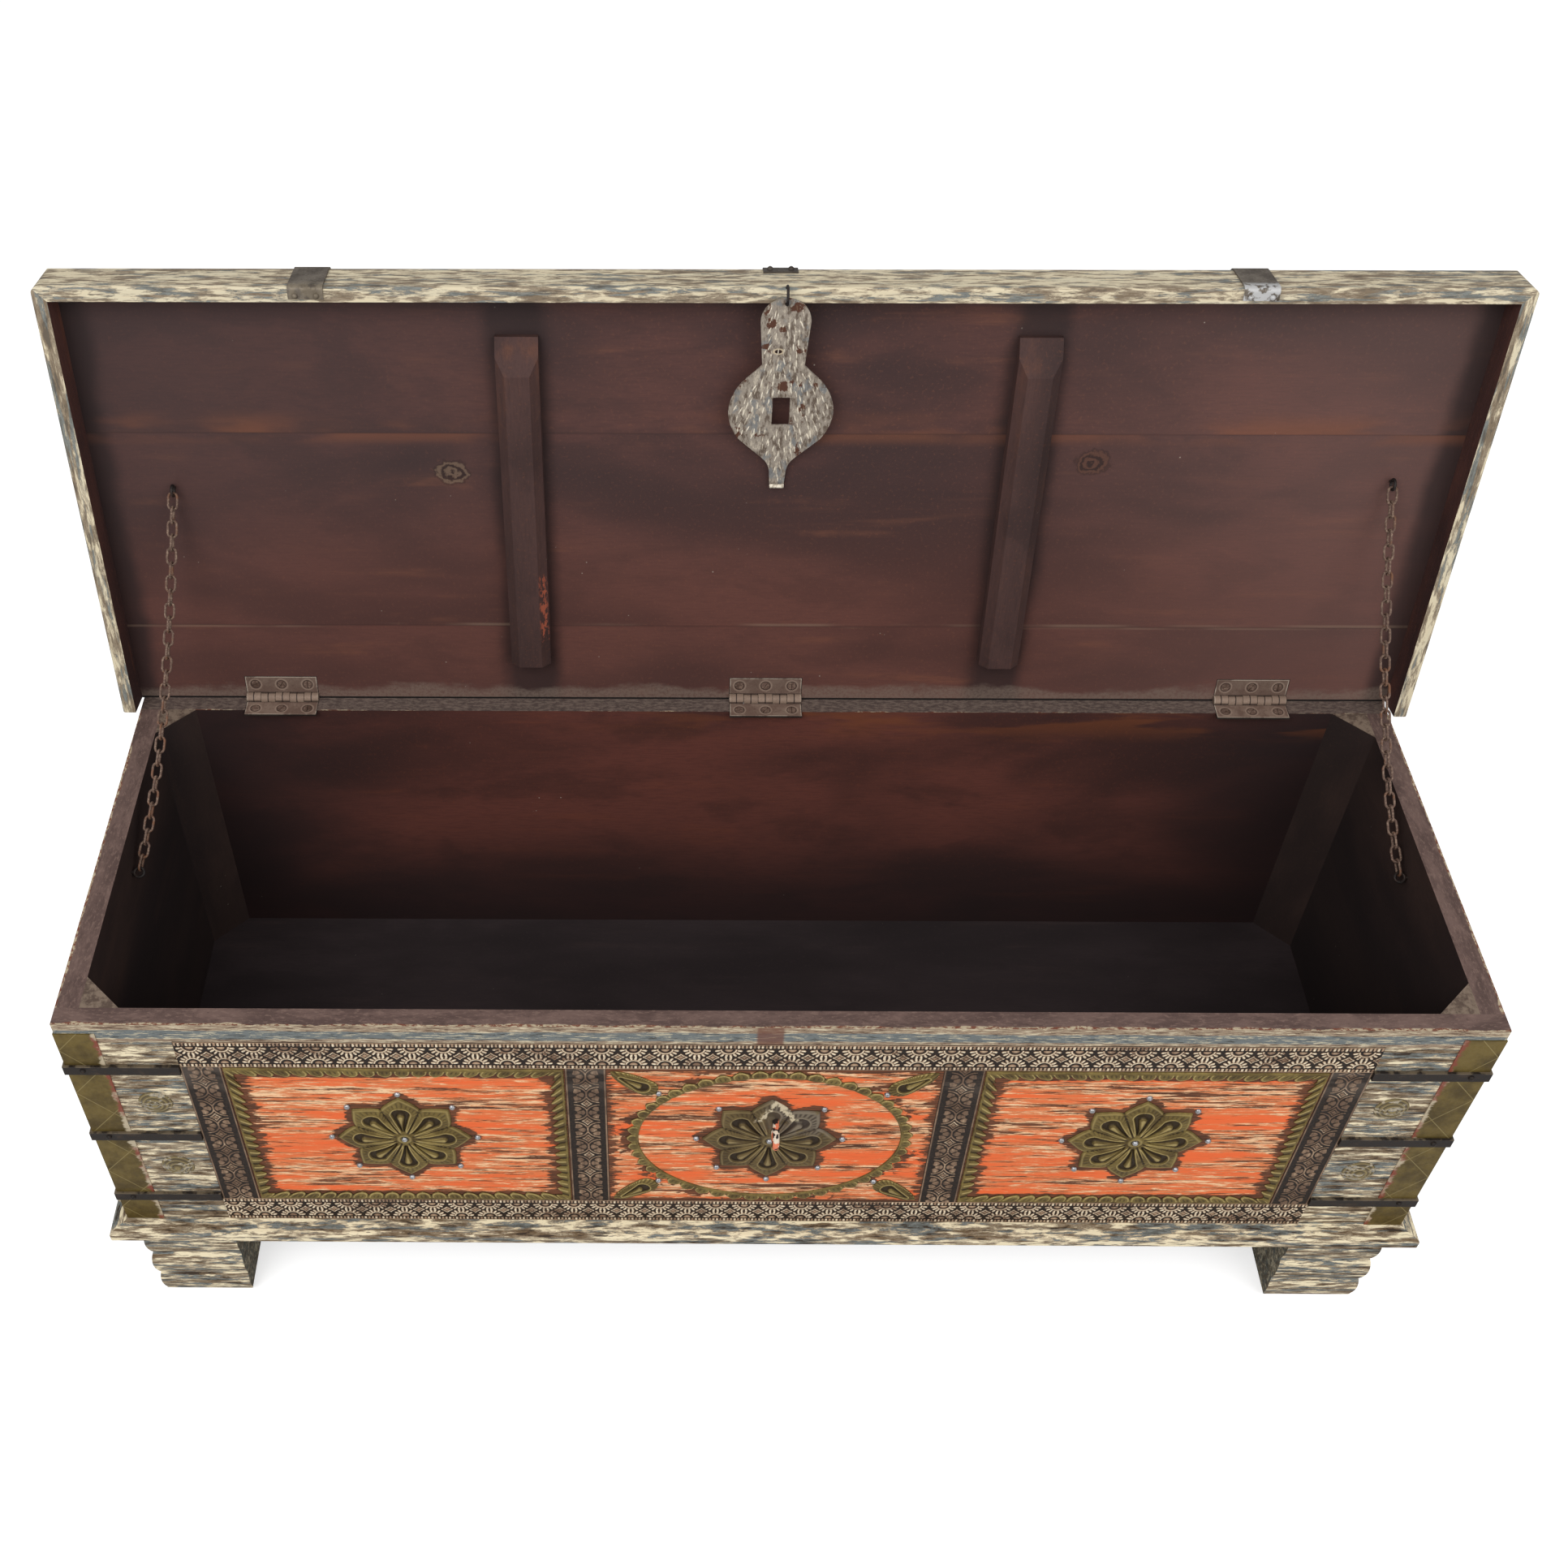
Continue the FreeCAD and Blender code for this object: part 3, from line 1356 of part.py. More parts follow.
def link_solid(pitch):
    """One oval link along Z in the XZ plane."""
    wire = float(d.chain_wire)
    half = float(d.chain_half_width)
    straight = pitch / 2 + wire + float(d.chain_play) / 2 - half
    left_low, left_high = Vector(-half, 0, -straight), Vector(-half, 0, straight)
    right_low, right_high = Vector(half, 0, -straight), Vector(half, 0, straight)
    path = Part.Wire([
        Part.LineSegment(left_low, left_high).toShape(),
        Part.Arc(left_high, Vector(0, 0, straight + half), right_high).toShape(),
        Part.LineSegment(right_high, right_low).toShape(),
        Part.Arc(right_low, Vector(0, 0, -straight - half), left_low).toShape(),
    ])
    section = Part.Wire([Part.Circle(left_low, Vector(0, 0, 1), wire).toShape()])
    return path.makePipeShell([section], True, False)


def chains():
    for label, side in (("left", -1), ("right", 1)):
        start, end = box_eye_middle(side), lid_eye_middle(side)
        inside = float(d.eye_radius - d.eye_wire)
        first_way = chain_way(side).normalize()
        last_way = (end - chain_point(start, end, 1 - chain_end_share)).normalize()
        first = start + first_way * inside
        last = end - last_way * inside
        joints, length = chain_joints(first, last)
        link = link_solid(length / CHAIN_LINKS)
        links = []
        for index, (low, high) in enumerate(zip(joints, joints[1:])):
            way = (high - low).normalize()
            sideways = Vector(1, 0, 0) - way * way.x
            if index % 2 == 0:
                sideways = sideways.cross(way)
            turn = Rotation(sideways, Vector(), way, "ZXY")
            links.append(placed_copy(link, (low + high) / 2, turn))
        code_shape(Part.makeCompound(links), f"chain_{label}")
        print(f"chain_{label}: {CHAIN_LINKS} links, {length:.1f} mm from eye to eye")


front_panel()
back_panel()
side_panels()
floor_panel()
corner_blocks()
base_mouldings()
feet()
embossed_frame()
field_trims()
oval_trim()
rosettes()
corner_leaves()
rosette_pins()
corner_wraps()
iron_bands()
band_nails()
brass_studs()
hinges()
hinge_pins()
hinge_screws()
lid_boards()
lid_rails()
lid_battens()
lid_straps()
strap_nails()
hasp_staple()
hasp_ring()
hasp_plate()
chain_eyes()
chains()

doc.recompute()

for item in doc.Objects:
    if "Invalid" in item.State or "Error" in item.State:
        raise RuntimeError(f"{item.Label} failed: {item.State}")
bad = [item.Label for item in subparts if item.Shape.isNull() or not item.Shape.isValid() or not item.Shape.Solids]
if bad:
    raise RuntimeError(f"no valid solid in {bad}")

os.makedirs("parts", exist_ok=True)
for item in subparts:
    item.Shape.exportStep(f"parts/{item.Label}.step")
whole = FreeCAD.BoundBox()
for item in subparts:
    whole.add(item.Shape.BoundBox)
print(f"{len(subparts)} nodes, x {whole.XMin:.2f}..{whole.XMax:.2f}, "
      f"y {whole.YMin:.2f}..{whole.YMax:.2f}, z {whole.ZMin:.2f}..{whole.ZMax:.2f}")
print(f"front {float(front):.3f} back {float(back):.3f} rim {float(rim):.3f} pin line {float(pin_line):.3f}")
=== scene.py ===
"""Looks of the low painted storage chest: weathered paint, worn brass, embossed strips, iron fittings."""
import math
from fnmatch import fnmatchcase

import bmesh
import bpy
import numpy as np
from mathutils import Matrix, Vector

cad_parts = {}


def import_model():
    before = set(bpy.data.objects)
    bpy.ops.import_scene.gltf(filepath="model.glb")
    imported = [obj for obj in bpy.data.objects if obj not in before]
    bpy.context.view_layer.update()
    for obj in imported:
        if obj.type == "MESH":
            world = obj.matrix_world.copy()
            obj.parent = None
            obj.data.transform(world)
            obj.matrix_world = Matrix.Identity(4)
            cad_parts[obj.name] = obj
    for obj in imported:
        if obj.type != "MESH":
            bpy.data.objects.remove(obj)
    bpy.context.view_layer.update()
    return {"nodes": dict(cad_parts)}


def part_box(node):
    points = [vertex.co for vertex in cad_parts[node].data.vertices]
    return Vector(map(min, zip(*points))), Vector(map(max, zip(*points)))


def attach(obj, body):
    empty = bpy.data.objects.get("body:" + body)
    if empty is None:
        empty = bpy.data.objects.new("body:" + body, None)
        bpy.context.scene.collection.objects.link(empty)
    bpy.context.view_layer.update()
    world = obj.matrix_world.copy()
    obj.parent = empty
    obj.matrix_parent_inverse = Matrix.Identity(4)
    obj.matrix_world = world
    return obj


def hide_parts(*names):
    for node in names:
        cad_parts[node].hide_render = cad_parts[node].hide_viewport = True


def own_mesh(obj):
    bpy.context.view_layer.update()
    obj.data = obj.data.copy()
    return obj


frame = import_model()
nodes = frame["nodes"]

MM = 0.001
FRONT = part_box("front_panel")[0].y
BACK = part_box("back_panel")[1].y
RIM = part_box("front_panel")[1].z
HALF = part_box("front_panel")[1].x
PIN_LINE = RIM + 0.15 * MM
OPEN = math.radians(99)
FRAME_LOW, FRAME_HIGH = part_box("embossed_rails")[0].z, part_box("embossed_rails")[1].z
FRAME_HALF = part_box("embossed_rails")[1].x
STRIP = 36 * MM
POST = 166 * MM
MIDDLE = (FRAME_LOW + FRAME_HIGH) / 2
ROSETTE = (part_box("rosette_right")[0].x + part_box("rosette_right")[1].x) / 2
LID_BATTEN = (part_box("lid_batten_right")[0].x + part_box("lid_batten_right")[1].x) / 2
BAND_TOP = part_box("iron_bands")[1].z
BAND_PITCH = 102 * MM


# Node helpers

def tone(red, green, blue):
    """A colour written as it looks, 0 to 255, as the shader needs it."""
    out = []
    for value in (red, green, blue):
        value /= 255
        out.append(value / 12.92 if value <= 0.04045 else ((value + 0.055) / 1.055) ** 2.4)
    return (*out, 1.0)


class Value:
    """A node's output, on which arithmetic adds Math nodes."""

    def __init__(self, paint, socket):
        self.paint, self.socket = paint, socket

    def __abs__(self):
        return self.paint.math("ABSOLUTE", self)


for sign, operation in (("add", "ADD"), ("sub", "SUBTRACT"), ("mul", "MULTIPLY"), ("truediv", "DIVIDE"),
                        ("lt", "LESS_THAN"), ("gt", "GREATER_THAN")):
    setattr(Value, f"__{sign}__", lambda a, b, kind=operation: a.paint.math(kind, a, b))
    setattr(Value, f"__r{sign}__", lambda a, b, kind=operation: a.paint.math(kind, b, a))


class Paint:
    """Short names for the nodes of one material."""

    def __init__(self, name, on_lid=False):
        self.material = bpy.data.materials.new(name)
        self.material.use_nodes = True
        self.tree = self.material.node_tree
        self.tree.nodes.clear()
        self.shader = self.new("ShaderNodeBsdfPrincipled")
        out = self.new("ShaderNodeOutputMaterial")
        self.tree.links.new(self.shader.outputs[0], out.inputs[0])
        self.where = self.output("ShaderNodeTexCoord", "Object")
        if on_lid:
            self.where = closed_place(self)

    def new(self, kind):
        return self.tree.nodes.new(kind)

    def output(self, kind, name):
        return Value(self, self.new(kind).outputs[name])

    def put(self, socket, value):
        if isinstance(value, Value):
            self.tree.links.new(value.socket, socket)
        else:
            socket.default_value = value

    def node(self, kind, values, out=0, **settings):
        """A node with its first inputs given, as its output."""
        node = self.new(kind)
        for name, setting in settings.items():
            setattr(node, name, setting)
        for socket, value in zip(node.inputs, values):
            self.put(socket, value)
        return Value(self, node.outputs[out])

    def math(self, operation, *values):
        return self.node("ShaderNodeMath", values, operation=operation)

    def vector(self, operation, a, b=(0, 0, 0), out=0):
        return self.node("ShaderNodeVectorMath", (a, b), out, operation=operation)

    def length(self, x, y, z):
        return self.vector("LENGTH", self.join(x, y, z), out=1)

    def split(self, a):
        node = self.new("ShaderNodeSeparateXYZ")
        self.put(node.inputs[0], a)
        return [Value(self, socket) for socket in node.outputs]

    def join(self, x, y, z):
        return self.node("ShaderNodeCombineXYZ", (x, y, z))

    def noise(self, size, shift=0, rough=0.6, detail=4, warp=0.0):
        """Noise with spots of the given size, or sizes along x, y and z, in millimetres."""
        size, shift = (v if isinstance(v, tuple) else (v,) * 3 for v in (size, shift))
        scaled = self.vector("MULTIPLY", self.where, tuple(1 / (MM * s) for s in size))
        node = self.new("ShaderNodeTexNoise")
        for name, value in (("Scale", 1.0), ("Detail", detail), ("Roughness", rough), ("Distortion", warp)):
            node.inputs[name].default_value = value
        self.put(node.inputs["Vector"], self.vector("ADD", scaled, shift))
        return Value(self, node.outputs["Fac"])

    def cells(self, size):
        """The way to the nearest of scattered points, about size millimetres apart."""
        node = self.new("ShaderNodeTexVoronoi")
        node.inputs["Scale"].default_value = 1.0
        self.put(node.inputs["Vector"], self.vector("MULTIPLY", self.where, (1 / (MM * size),) * 3))
        return Value(self, node.outputs["Distance"])

    def ramp(self, value, low, high, to_low=0.0, to_high=1.0):
        """A smooth step from to_low, where value is low, to to_high, where it is high."""
        values = (value, low, high, to_low, to_high)
        return self.node("ShaderNodeMapRange", values, interpolation_type="SMOOTHSTEP")

    def fall(self, value, low, high, top=1.0):
        """top where value is low, 0 where it is high."""
        return self.ramp(value, low, high, top, 0.0)

    def mix(self, share, a, b):
        """Colour a where share is 0 and b where it is 1; a plain colour is written as it looks, 0 to 255."""
        node = self.new("ShaderNodeMix")
        node.data_type = "RGBA"
        self.put(node.inputs[0], share)
        for socket, colour in ((node.inputs[6], a), (node.inputs[7], b)):
            self.put(socket, tone(*colour) if isinstance(colour, tuple) else colour)
        return Value(self, node.outputs[2])

    def layers(self, colour, *coats):
        """Colours laid over the first one, each with its share."""
        for share, coat in coats:
            colour = self.mix(share, colour, coat)
        return colour

    def either(self, a, b):
        return self.math("MAXIMUM", a, b)

    def attribute(self, name):
        node = self.new("ShaderNodeAttribute")
        node.attribute_name = name
        return Value(self, node.outputs["Fac"])

    def finish(self, colour, rough=0.6, metal=0.0, height=None, strength=0.4, depth=0.5, sheen=0.3):
        self.put(self.shader.inputs["Base Color"], colour)
        self.shader.inputs["Specular IOR Level"].default_value = sheen
        self.put(self.shader.inputs["Roughness"], rough)
        self.put(self.shader.inputs["Metallic"], metal)
        if height is not None:
            bump = self.new("ShaderNodeBump")
            bump.inputs["Strength"].default_value = strength
            bump.inputs["Distance"].default_value = depth * MM
            self.put(bump.inputs["Height"], height)
            self.tree.links.new(bump.outputs[0], self.shader.inputs["Normal"])
        return self.material


def closed_place(p):
    """A point of the open lid as it lies when the lid is closed: x, way from the pins, height."""
    moved = p.vector("SUBTRACT", p.where, (0, BACK, PIN_LINE))
    run = p.vector("DOT_PRODUCT", moved, (0, math.cos(OPEN), -math.sin(OPEN)), out=1)
    rise = p.vector("DOT_PRODUCT", moved, (0, math.sin(OPEN), math.cos(OPEN)), out=1)
    return p.join(p.split(p.where)[0], run, rise)


BLUE = (134, 132, 125)
CREAM_DULL = (182, 168, 142)
WALL = ((64, 38, 34), (104, 58, 49), (122, 66, 46))
SIDE = ((40, 30, 29), (62, 46, 41), (76, 54, 44))
FLOOR = ((38, 30, 31), (54, 44, 45), (66, 52, 50))
BATTEN = ((48, 34, 33), (80, 56, 52), (120, 74, 50))


def grain(axis, along, across):
    """Spot sizes with the long way on the grain's axis."""
    return tuple(along if a == axis else across for a in "xyz")


def weathered(p, axis, shift=0.0, pale=0.0, blue=0.5, calm=0.03):
    """Blue-grey and cream paint over brown wood, flaked along the grain: colour and height."""
    s = (shift, shift * 1.7, shift * 0.6)
    broad = p.noise(grain(axis, 200, 14), s, 0.6, 3, 0.2)
    flakes = p.noise(grain(axis, 24, 4.4), s, 0.64, 5, 0.3)
    chips = p.noise(grain(axis, 40, 5.5), (s[2] + 7, s[0], s[1]), 0.64, 5, 0.3)
    tint = p.noise(grain(axis, 90, 6), (s[0] + 3, s[2], s[1]), 0.6, 3)
    fine = p.noise(grain(axis, 30, 3.2), (s[1], s[0], s[2]), 0.64, 3)
    value = flakes + chips * 0.6 + broad * 0.4
    value = value + (pale * 0.1 - 1.0)
    cool = p.ramp(tint, 0.58 - 0.2 * blue, 0.64 - 0.2 * blue)
    brown = p.mix(cool, (108, 88, 64), (96, 98, 94))
    middle = p.mix(cool, (144, 127, 104), (124, 129, 126))
    colour = p.mix(p.ramp(value, -0.115, -0.105), (52, 38, 26), brown)
    colour = p.layers(
        colour,
        (p.ramp(value, -0.032, -0.020), middle),
        (p.ramp(value, 0.050, 0.058), (192, 176, 148)),
        (p.ramp(value, 0.120, 0.130), (240, 226, 192)))
    outline = p.ramp(value, 0.030, 0.046) * p.fall(value, 0.050, 0.058)
    crack = p.fall(fine, 0.34, 0.37)
    dark = p.either(outline * 0.6, crack * 0.85)
    colour = p.layers(
        colour,
        (dark, (58, 46, 34)),
        (calm, p.mix(cool, (168, 156, 138), (152, 152, 144))))
    height = p.ramp(value, -0.14, 0.16) - dark
    return colour, height + fine * 0.3


def dark_inside(p, axis, shift=0.0, tones=((56, 38, 37), (90, 56, 49), (128, 76, 52)), specks=0.6):
    """Stained reddish-brown boards, given their dark, usual and warm colour: colour and height."""
    s = (shift, shift * 1.3, shift * 0.7)
    deep, usual, warm_tone = tones
    broad = p.noise(grain(axis, 340, 130), s, 0.55, 3, 0.4)
    cloud = p.noise(grain(axis, 120, 60), (s[1], s[2], s[0]), 0.62, 4, 0.3)
    streak = p.noise(grain(axis, 240, 16), s, 0.55)
    fine = p.noise(grain(axis, 16, 2.0), s, 0.65, 3)
    grit = p.noise(3.2, s, 0.75)
    colour = p.mix(p.ramp(broad, 0.32, 0.66), deep, usual)
    warm = p.ramp(streak, 0.50, 0.78) * p.ramp(cloud, 0.46, 0.66)
    colour = p.layers(
        colour,
        (warm * 0.55, warm_tone),
        (p.fall(cloud, 0.36, 0.52) * 0.45, deep),
        (p.ramp(fine, 0.42, 0.66) * 0.25, deep),
        (p.ramp(grit, 0.54, 0.70) * 0.26, warm_tone))
    speck = p.fall(p.cells(13), 0.03, 0.07)
    pick = p.ramp(p.noise(60, 5, 0.5, 2), 0.60, 0.66)
    colour = p.mix(speck * pick * specks, colour, (196, 184, 170))
    return colour, streak * 0.4 + grit * 0.4


def outside_share(p):
    """1 on the box's outer faces, 0 inside and on the rim."""
    x, y, z = p.split(p.where)
    side = abs(x) > HALF - 0.4 * MM
    face = y < FRONT + 0.4 * MM
    rear = y > BACK - 0.4 * MM
    top = z < RIM - 0.3 * MM
    return p.either(side, p.either(face, rear)) * top


def rim_mix(p, colour, axis, edge, dusty=0.0):
    """Lays the look of the rim over its top face; edge is the way from its worn outer edge."""
    top = p.split(p.where)[2] > RIM - 0.4 * MM
    cloud = p.noise(grain(axis, 46, 16), 4, 0.65, 4, 0.4)
    grit = p.noise(grain(axis, 7, 2.6), (1, 7, 4), 0.72)
    rim = p.mix(p.ramp(cloud, 0.36, 0.64), (112, 90, 83), (88, 69, 64))
    rim = p.layers(
        rim,
        (p.ramp(grit, 0.52, 0.62) * 0.5, (134, 110, 100)),
        (p.ramp(grit, 0.40, 0.32) * 0.6, (66, 50, 46)))
    if dusty:
        rim = p.mix(dusty, rim, p.mix(p.ramp(grit, 0.4, 0.6), (72, 61, 57), (110, 97, 88)))
    ragged = edge + (cloud - 0.5) * (9 * MM)
    worn = p.fall(ragged, 1.2 * MM, 2.2 * MM)
    rim = p.mix(worn * 0.85, rim, p.mix(p.ramp(grit, 0.46, 0.54), (122, 70, 50), (196, 180, 150)))
    return p.mix(top, colour, rim)


def box_wood(name, axis, shift, pale, blue, tones):
    """A board of the box: weathered outside, stained inside, worn along the rim."""
    p = Paint(name)
    x, y, z = p.split(p.where)
    outer, bumps = weathered(p, axis, shift, pale, blue, 0.3)
    inner, dents = dark_inside(p, axis, shift, tones)
    if axis == "x":
        # the back wall: reddest in its middle, orange near the rim, and painted shade makes it nearly black
        # at its ends and low down
        painted_shade = p.either(p.ramp(abs(x), 0.30, 0.57), p.ramp(z, RIM - 120 * MM, RIM - 310 * MM))
        inner = p.mix(painted_shade * 0.85, inner, (34, 25, 26))
        patch = p.noise((150, 50, 24), (2, 2, 9), 0.6, 3)
        high = p.ramp(z, RIM - 46 * MM, RIM - 10 * MM) * p.ramp(patch, 0.46, 0.6)
        inner = p.mix(high * p.ramp(x, -0.25, 0.05) * 0.4, inner, (132, 74, 38))
        edge, dusty = y - (BACK - 20 * MM), 0.75
    else:
        # painted shade: the side walls darken inside towards the bottom
        low = p.ramp(z, RIM - 20 * MM, RIM - 130 * MM)
        inner = p.mix(low * 0.6, inner, (30, 23, 24))
        edge, dusty = HALF - abs(x), 0.0
    share = outside_share(p)
    colour = rim_mix(p, p.mix(share, inner, outer), axis, edge, dusty)
    height = bumps * share + dents * (1 - share)
    return p.finish(colour, 0.75, 0.0, height, 0.5, 0.6)


def front_wood():
    """The front board: orange fields with brown round the brass, worn grey and cream elsewhere."""
    p = Paint("front_board_paint")
    x, y, z = p.split(p.where)
    outer, bumps = weathered(p, "x", 0.0, 0.25, 0.45)
    inner, dents = dark_inside(p, "x", 2.0, WALL)
    # the strip under the rim: tan and worn above, blue-grey along its middle
    ragged = p.noise((60, 8, 6), (1, 2, 3), 0.66)
    fleck = p.noise((14, 4, 1.5), (4, 2, 3), 0.7)
    drop = RIM - z + (ragged - 0.5) * (7 * MM)
    tan = p.mix(p.ramp(fleck, 0.40, 0.44), (92, 70, 56), (156, 136, 114))
    tan = p.mix(p.ramp(fleck, 0.55, 0.58), tan, (206, 192, 164))
    blue = p.mix(p.ramp(fleck, 0.38, 0.41), (70, 70, 66), (112, 118, 118))
    blue = p.mix(p.ramp(fleck, 0.56, 0.59), blue, (196, 186, 160))
    strip = p.ramp(drop, 27 * MM, 23.5 * MM)
    band = p.ramp(drop, 7.5 * MM, 9 * MM) * p.fall(drop, 19 * MM, 20.5 * MM)
    outer = p.mix(strip, outer, p.mix(band, tan, blue))
    bare = p.fall(abs(x + 6 * MM), 10 * MM, 13 * MM) * strip
    outer = p.mix(bare * 0.8, outer, (112, 72, 58))
    # orange paint
    band = p.noise((170, 9, 12), (3, 1, 2), 0.62)
    fine = p.noise((30, 4, 1.2), (6, 2, 1), 0.65)
    thin = p.noise((46, 6, 2.4), (9, 4, 5), 0.70, 5, 0.2)
    orange = p.mix(p.ramp(band, 0.36, 0.60), (234, 106, 54), (216, 130, 80))
    pale = p.noise((20, 4, 2.4), (6, 9, 1), 0.70, 5, 0.3)
    worn = pale + (band - 0.5) * 0.9
    orange = p.layers(
        orange,
        (p.ramp(worn, 0.50, 0.52), (224, 144, 98)),
        (p.ramp(worn, 0.565, 0.58), (242, 200, 156)),
        (p.ramp(fine, 0.56, 0.66, 0.0, 0.5), (186, 92, 50)))
    flake = thin + (band - 0.5) * 0.6
    chips = p.ramp(flake, 0.58, 0.59)
    brown = p.mix(p.ramp(fine, 0.38, 0.62), (70, 42, 26), (118, 70, 44))
    rubbed = p.ramp(flake, 0.535, 0.545) * p.ramp(fine, 0.43, 0.53)
    orange = p.layers(
        orange,
        (rubbed * 0.7, (168, 104, 64)),
        (chips, brown))
    lines = p.fall(fine, 0.36, 0.39) * p.ramp(band, 0.38, 0.50)
    orange = p.mix(lines * 0.8, orange, (96, 54, 32))
    # brown halos: near the trims and round the rosettes, with edges ragged along the grain
    rag = (p.noise((26, 5, 4.0), (2, 8, 1), 0.68, 5) - 0.5) * (52 * MM)
    rag_up = (p.noise((22, 5, 6), (8, 3, 1), 0.66) - 0.5) * (12 * MM)
    rough_x = x + rag
    rough_z = z + rag_up
    far = abs(rough_x)
    up = abs(rough_z - MIDDLE)
    half_field = (FRAME_HIGH - FRAME_LOW) / 2 - STRIP
    side_start, side_end = POST + STRIP / 2 + 20 * MM, FRAME_HALF - STRIP - 20 * MM
    inside_x = p.ramp(far, side_start - 2 * MM, side_start) * p.fall(far, side_end, side_end + 2 * MM)
    inside_z = p.fall(up, half_field - 15.5 * MM, half_field - 14 * MM)
    side_field = inside_x * inside_z
    middle_end = POST - STRIP / 2 - 6 * MM
    middle_field = p.fall(far, middle_end, middle_end + 2 * MM)
    middle_field = middle_field * p.fall(up, half_field - 5 * MM, half_field - 3.5 * MM)
    field = p.either(side_field, middle_field)
    rise = rough_z - MIDDLE
    small_x = x + rag * 0.55
    for centre in (-ROSETTE, 0.0, ROSETTE):
        run = small_x - centre
        gap = p.length(run, 0.0, rise)
        turn = p.math("ARCTAN2", rise, run) * 8.0
        reach = 61 * MM + p.math("COSINE", turn) * (7 * MM)
        field = field * p.ramp(gap - reach, -0.5 * MM, 0.7 * MM)
    # round the oval of scallops
    oval = p.length(rough_x / (130 * MM), 0.0, rise / (104 * MM))
    on_oval = p.ramp(oval, 0.93, 0.95) * p.fall(oval, 1.06, 1.08)
    on_oval = on_oval * p.ramp(p.noise((30, 30, 20), (4, 4, 8), 0.64), 0.50, 0.54)
    field = field * (1 - on_oval)
    front_colour = p.mix(field, brown, orange)
    frame_share = (abs(x) < FRAME_HALF - 1 * MM) * (abs(z - MIDDLE) < (FRAME_HIGH - FRAME_LOW) / 2 - 1 * MM)
    outer = p.mix(frame_share, outer, front_colour)
    layer = field * 0.8 - field * chips * 0.8
    layer = layer + fine * 0.45
    bumps = bumps * (1 - frame_share) + layer * frame_share
    share = outside_share(p)
    colour = rim_mix(p, p.mix(share, inner, outer), "x", y - FRONT)
    height = bumps * share + dents * (1 - share)
    return p.finish(colour, 0.75, 0.0, height, 0.5, 0.6)


def plain_painted(name, axis, shift, pale, blue, shaded=False):
    """Painted all round: mouldings and feet."""
    p = Paint(name)
    colour, height = weathered(p, axis, shift, pale, blue)
    if shaded:
        # painted shade: the feet's sides that face inward are darkened towards grey-green
        x = p.split(p.where)[0]
        across = p.split(p.output("ShaderNodeNewGeometry", "Normal"))[0]
        facing_in = p.ramp(across * -1.0 * p.math("SIGN", x), 0.2, 0.6)
        colour = p.mix(facing_in * 0.7, colour, (62, 60, 48))
    return p.finish(colour, 0.78, 0.0, height, 0.55, 0.6)


def lid_rail(name, axis, shift, pale):
    """A rail of the lid: painted outside and below, dark towards the box."""
    p = Paint(name, on_lid=True)
    x, run, rise = p.split(p.where)
    colour, height = weathered(p, axis, shift, pale, 0.4, 0.3)
    hidden_x = abs(x) < HALF + 2.3 * MM
    hidden_y = run > FRONT - BACK - 2.3 * MM
    below = rise < 22 * MM
    above = rise > -27.6 * MM
    dark = hidden_x * hidden_y * (below * above)
    inner = dark_inside(p, axis, shift)[0]
    colour = p.mix(dark, colour, inner)
    return p.finish(colour, 0.76, 0.0, height, 0.5, 0.6)


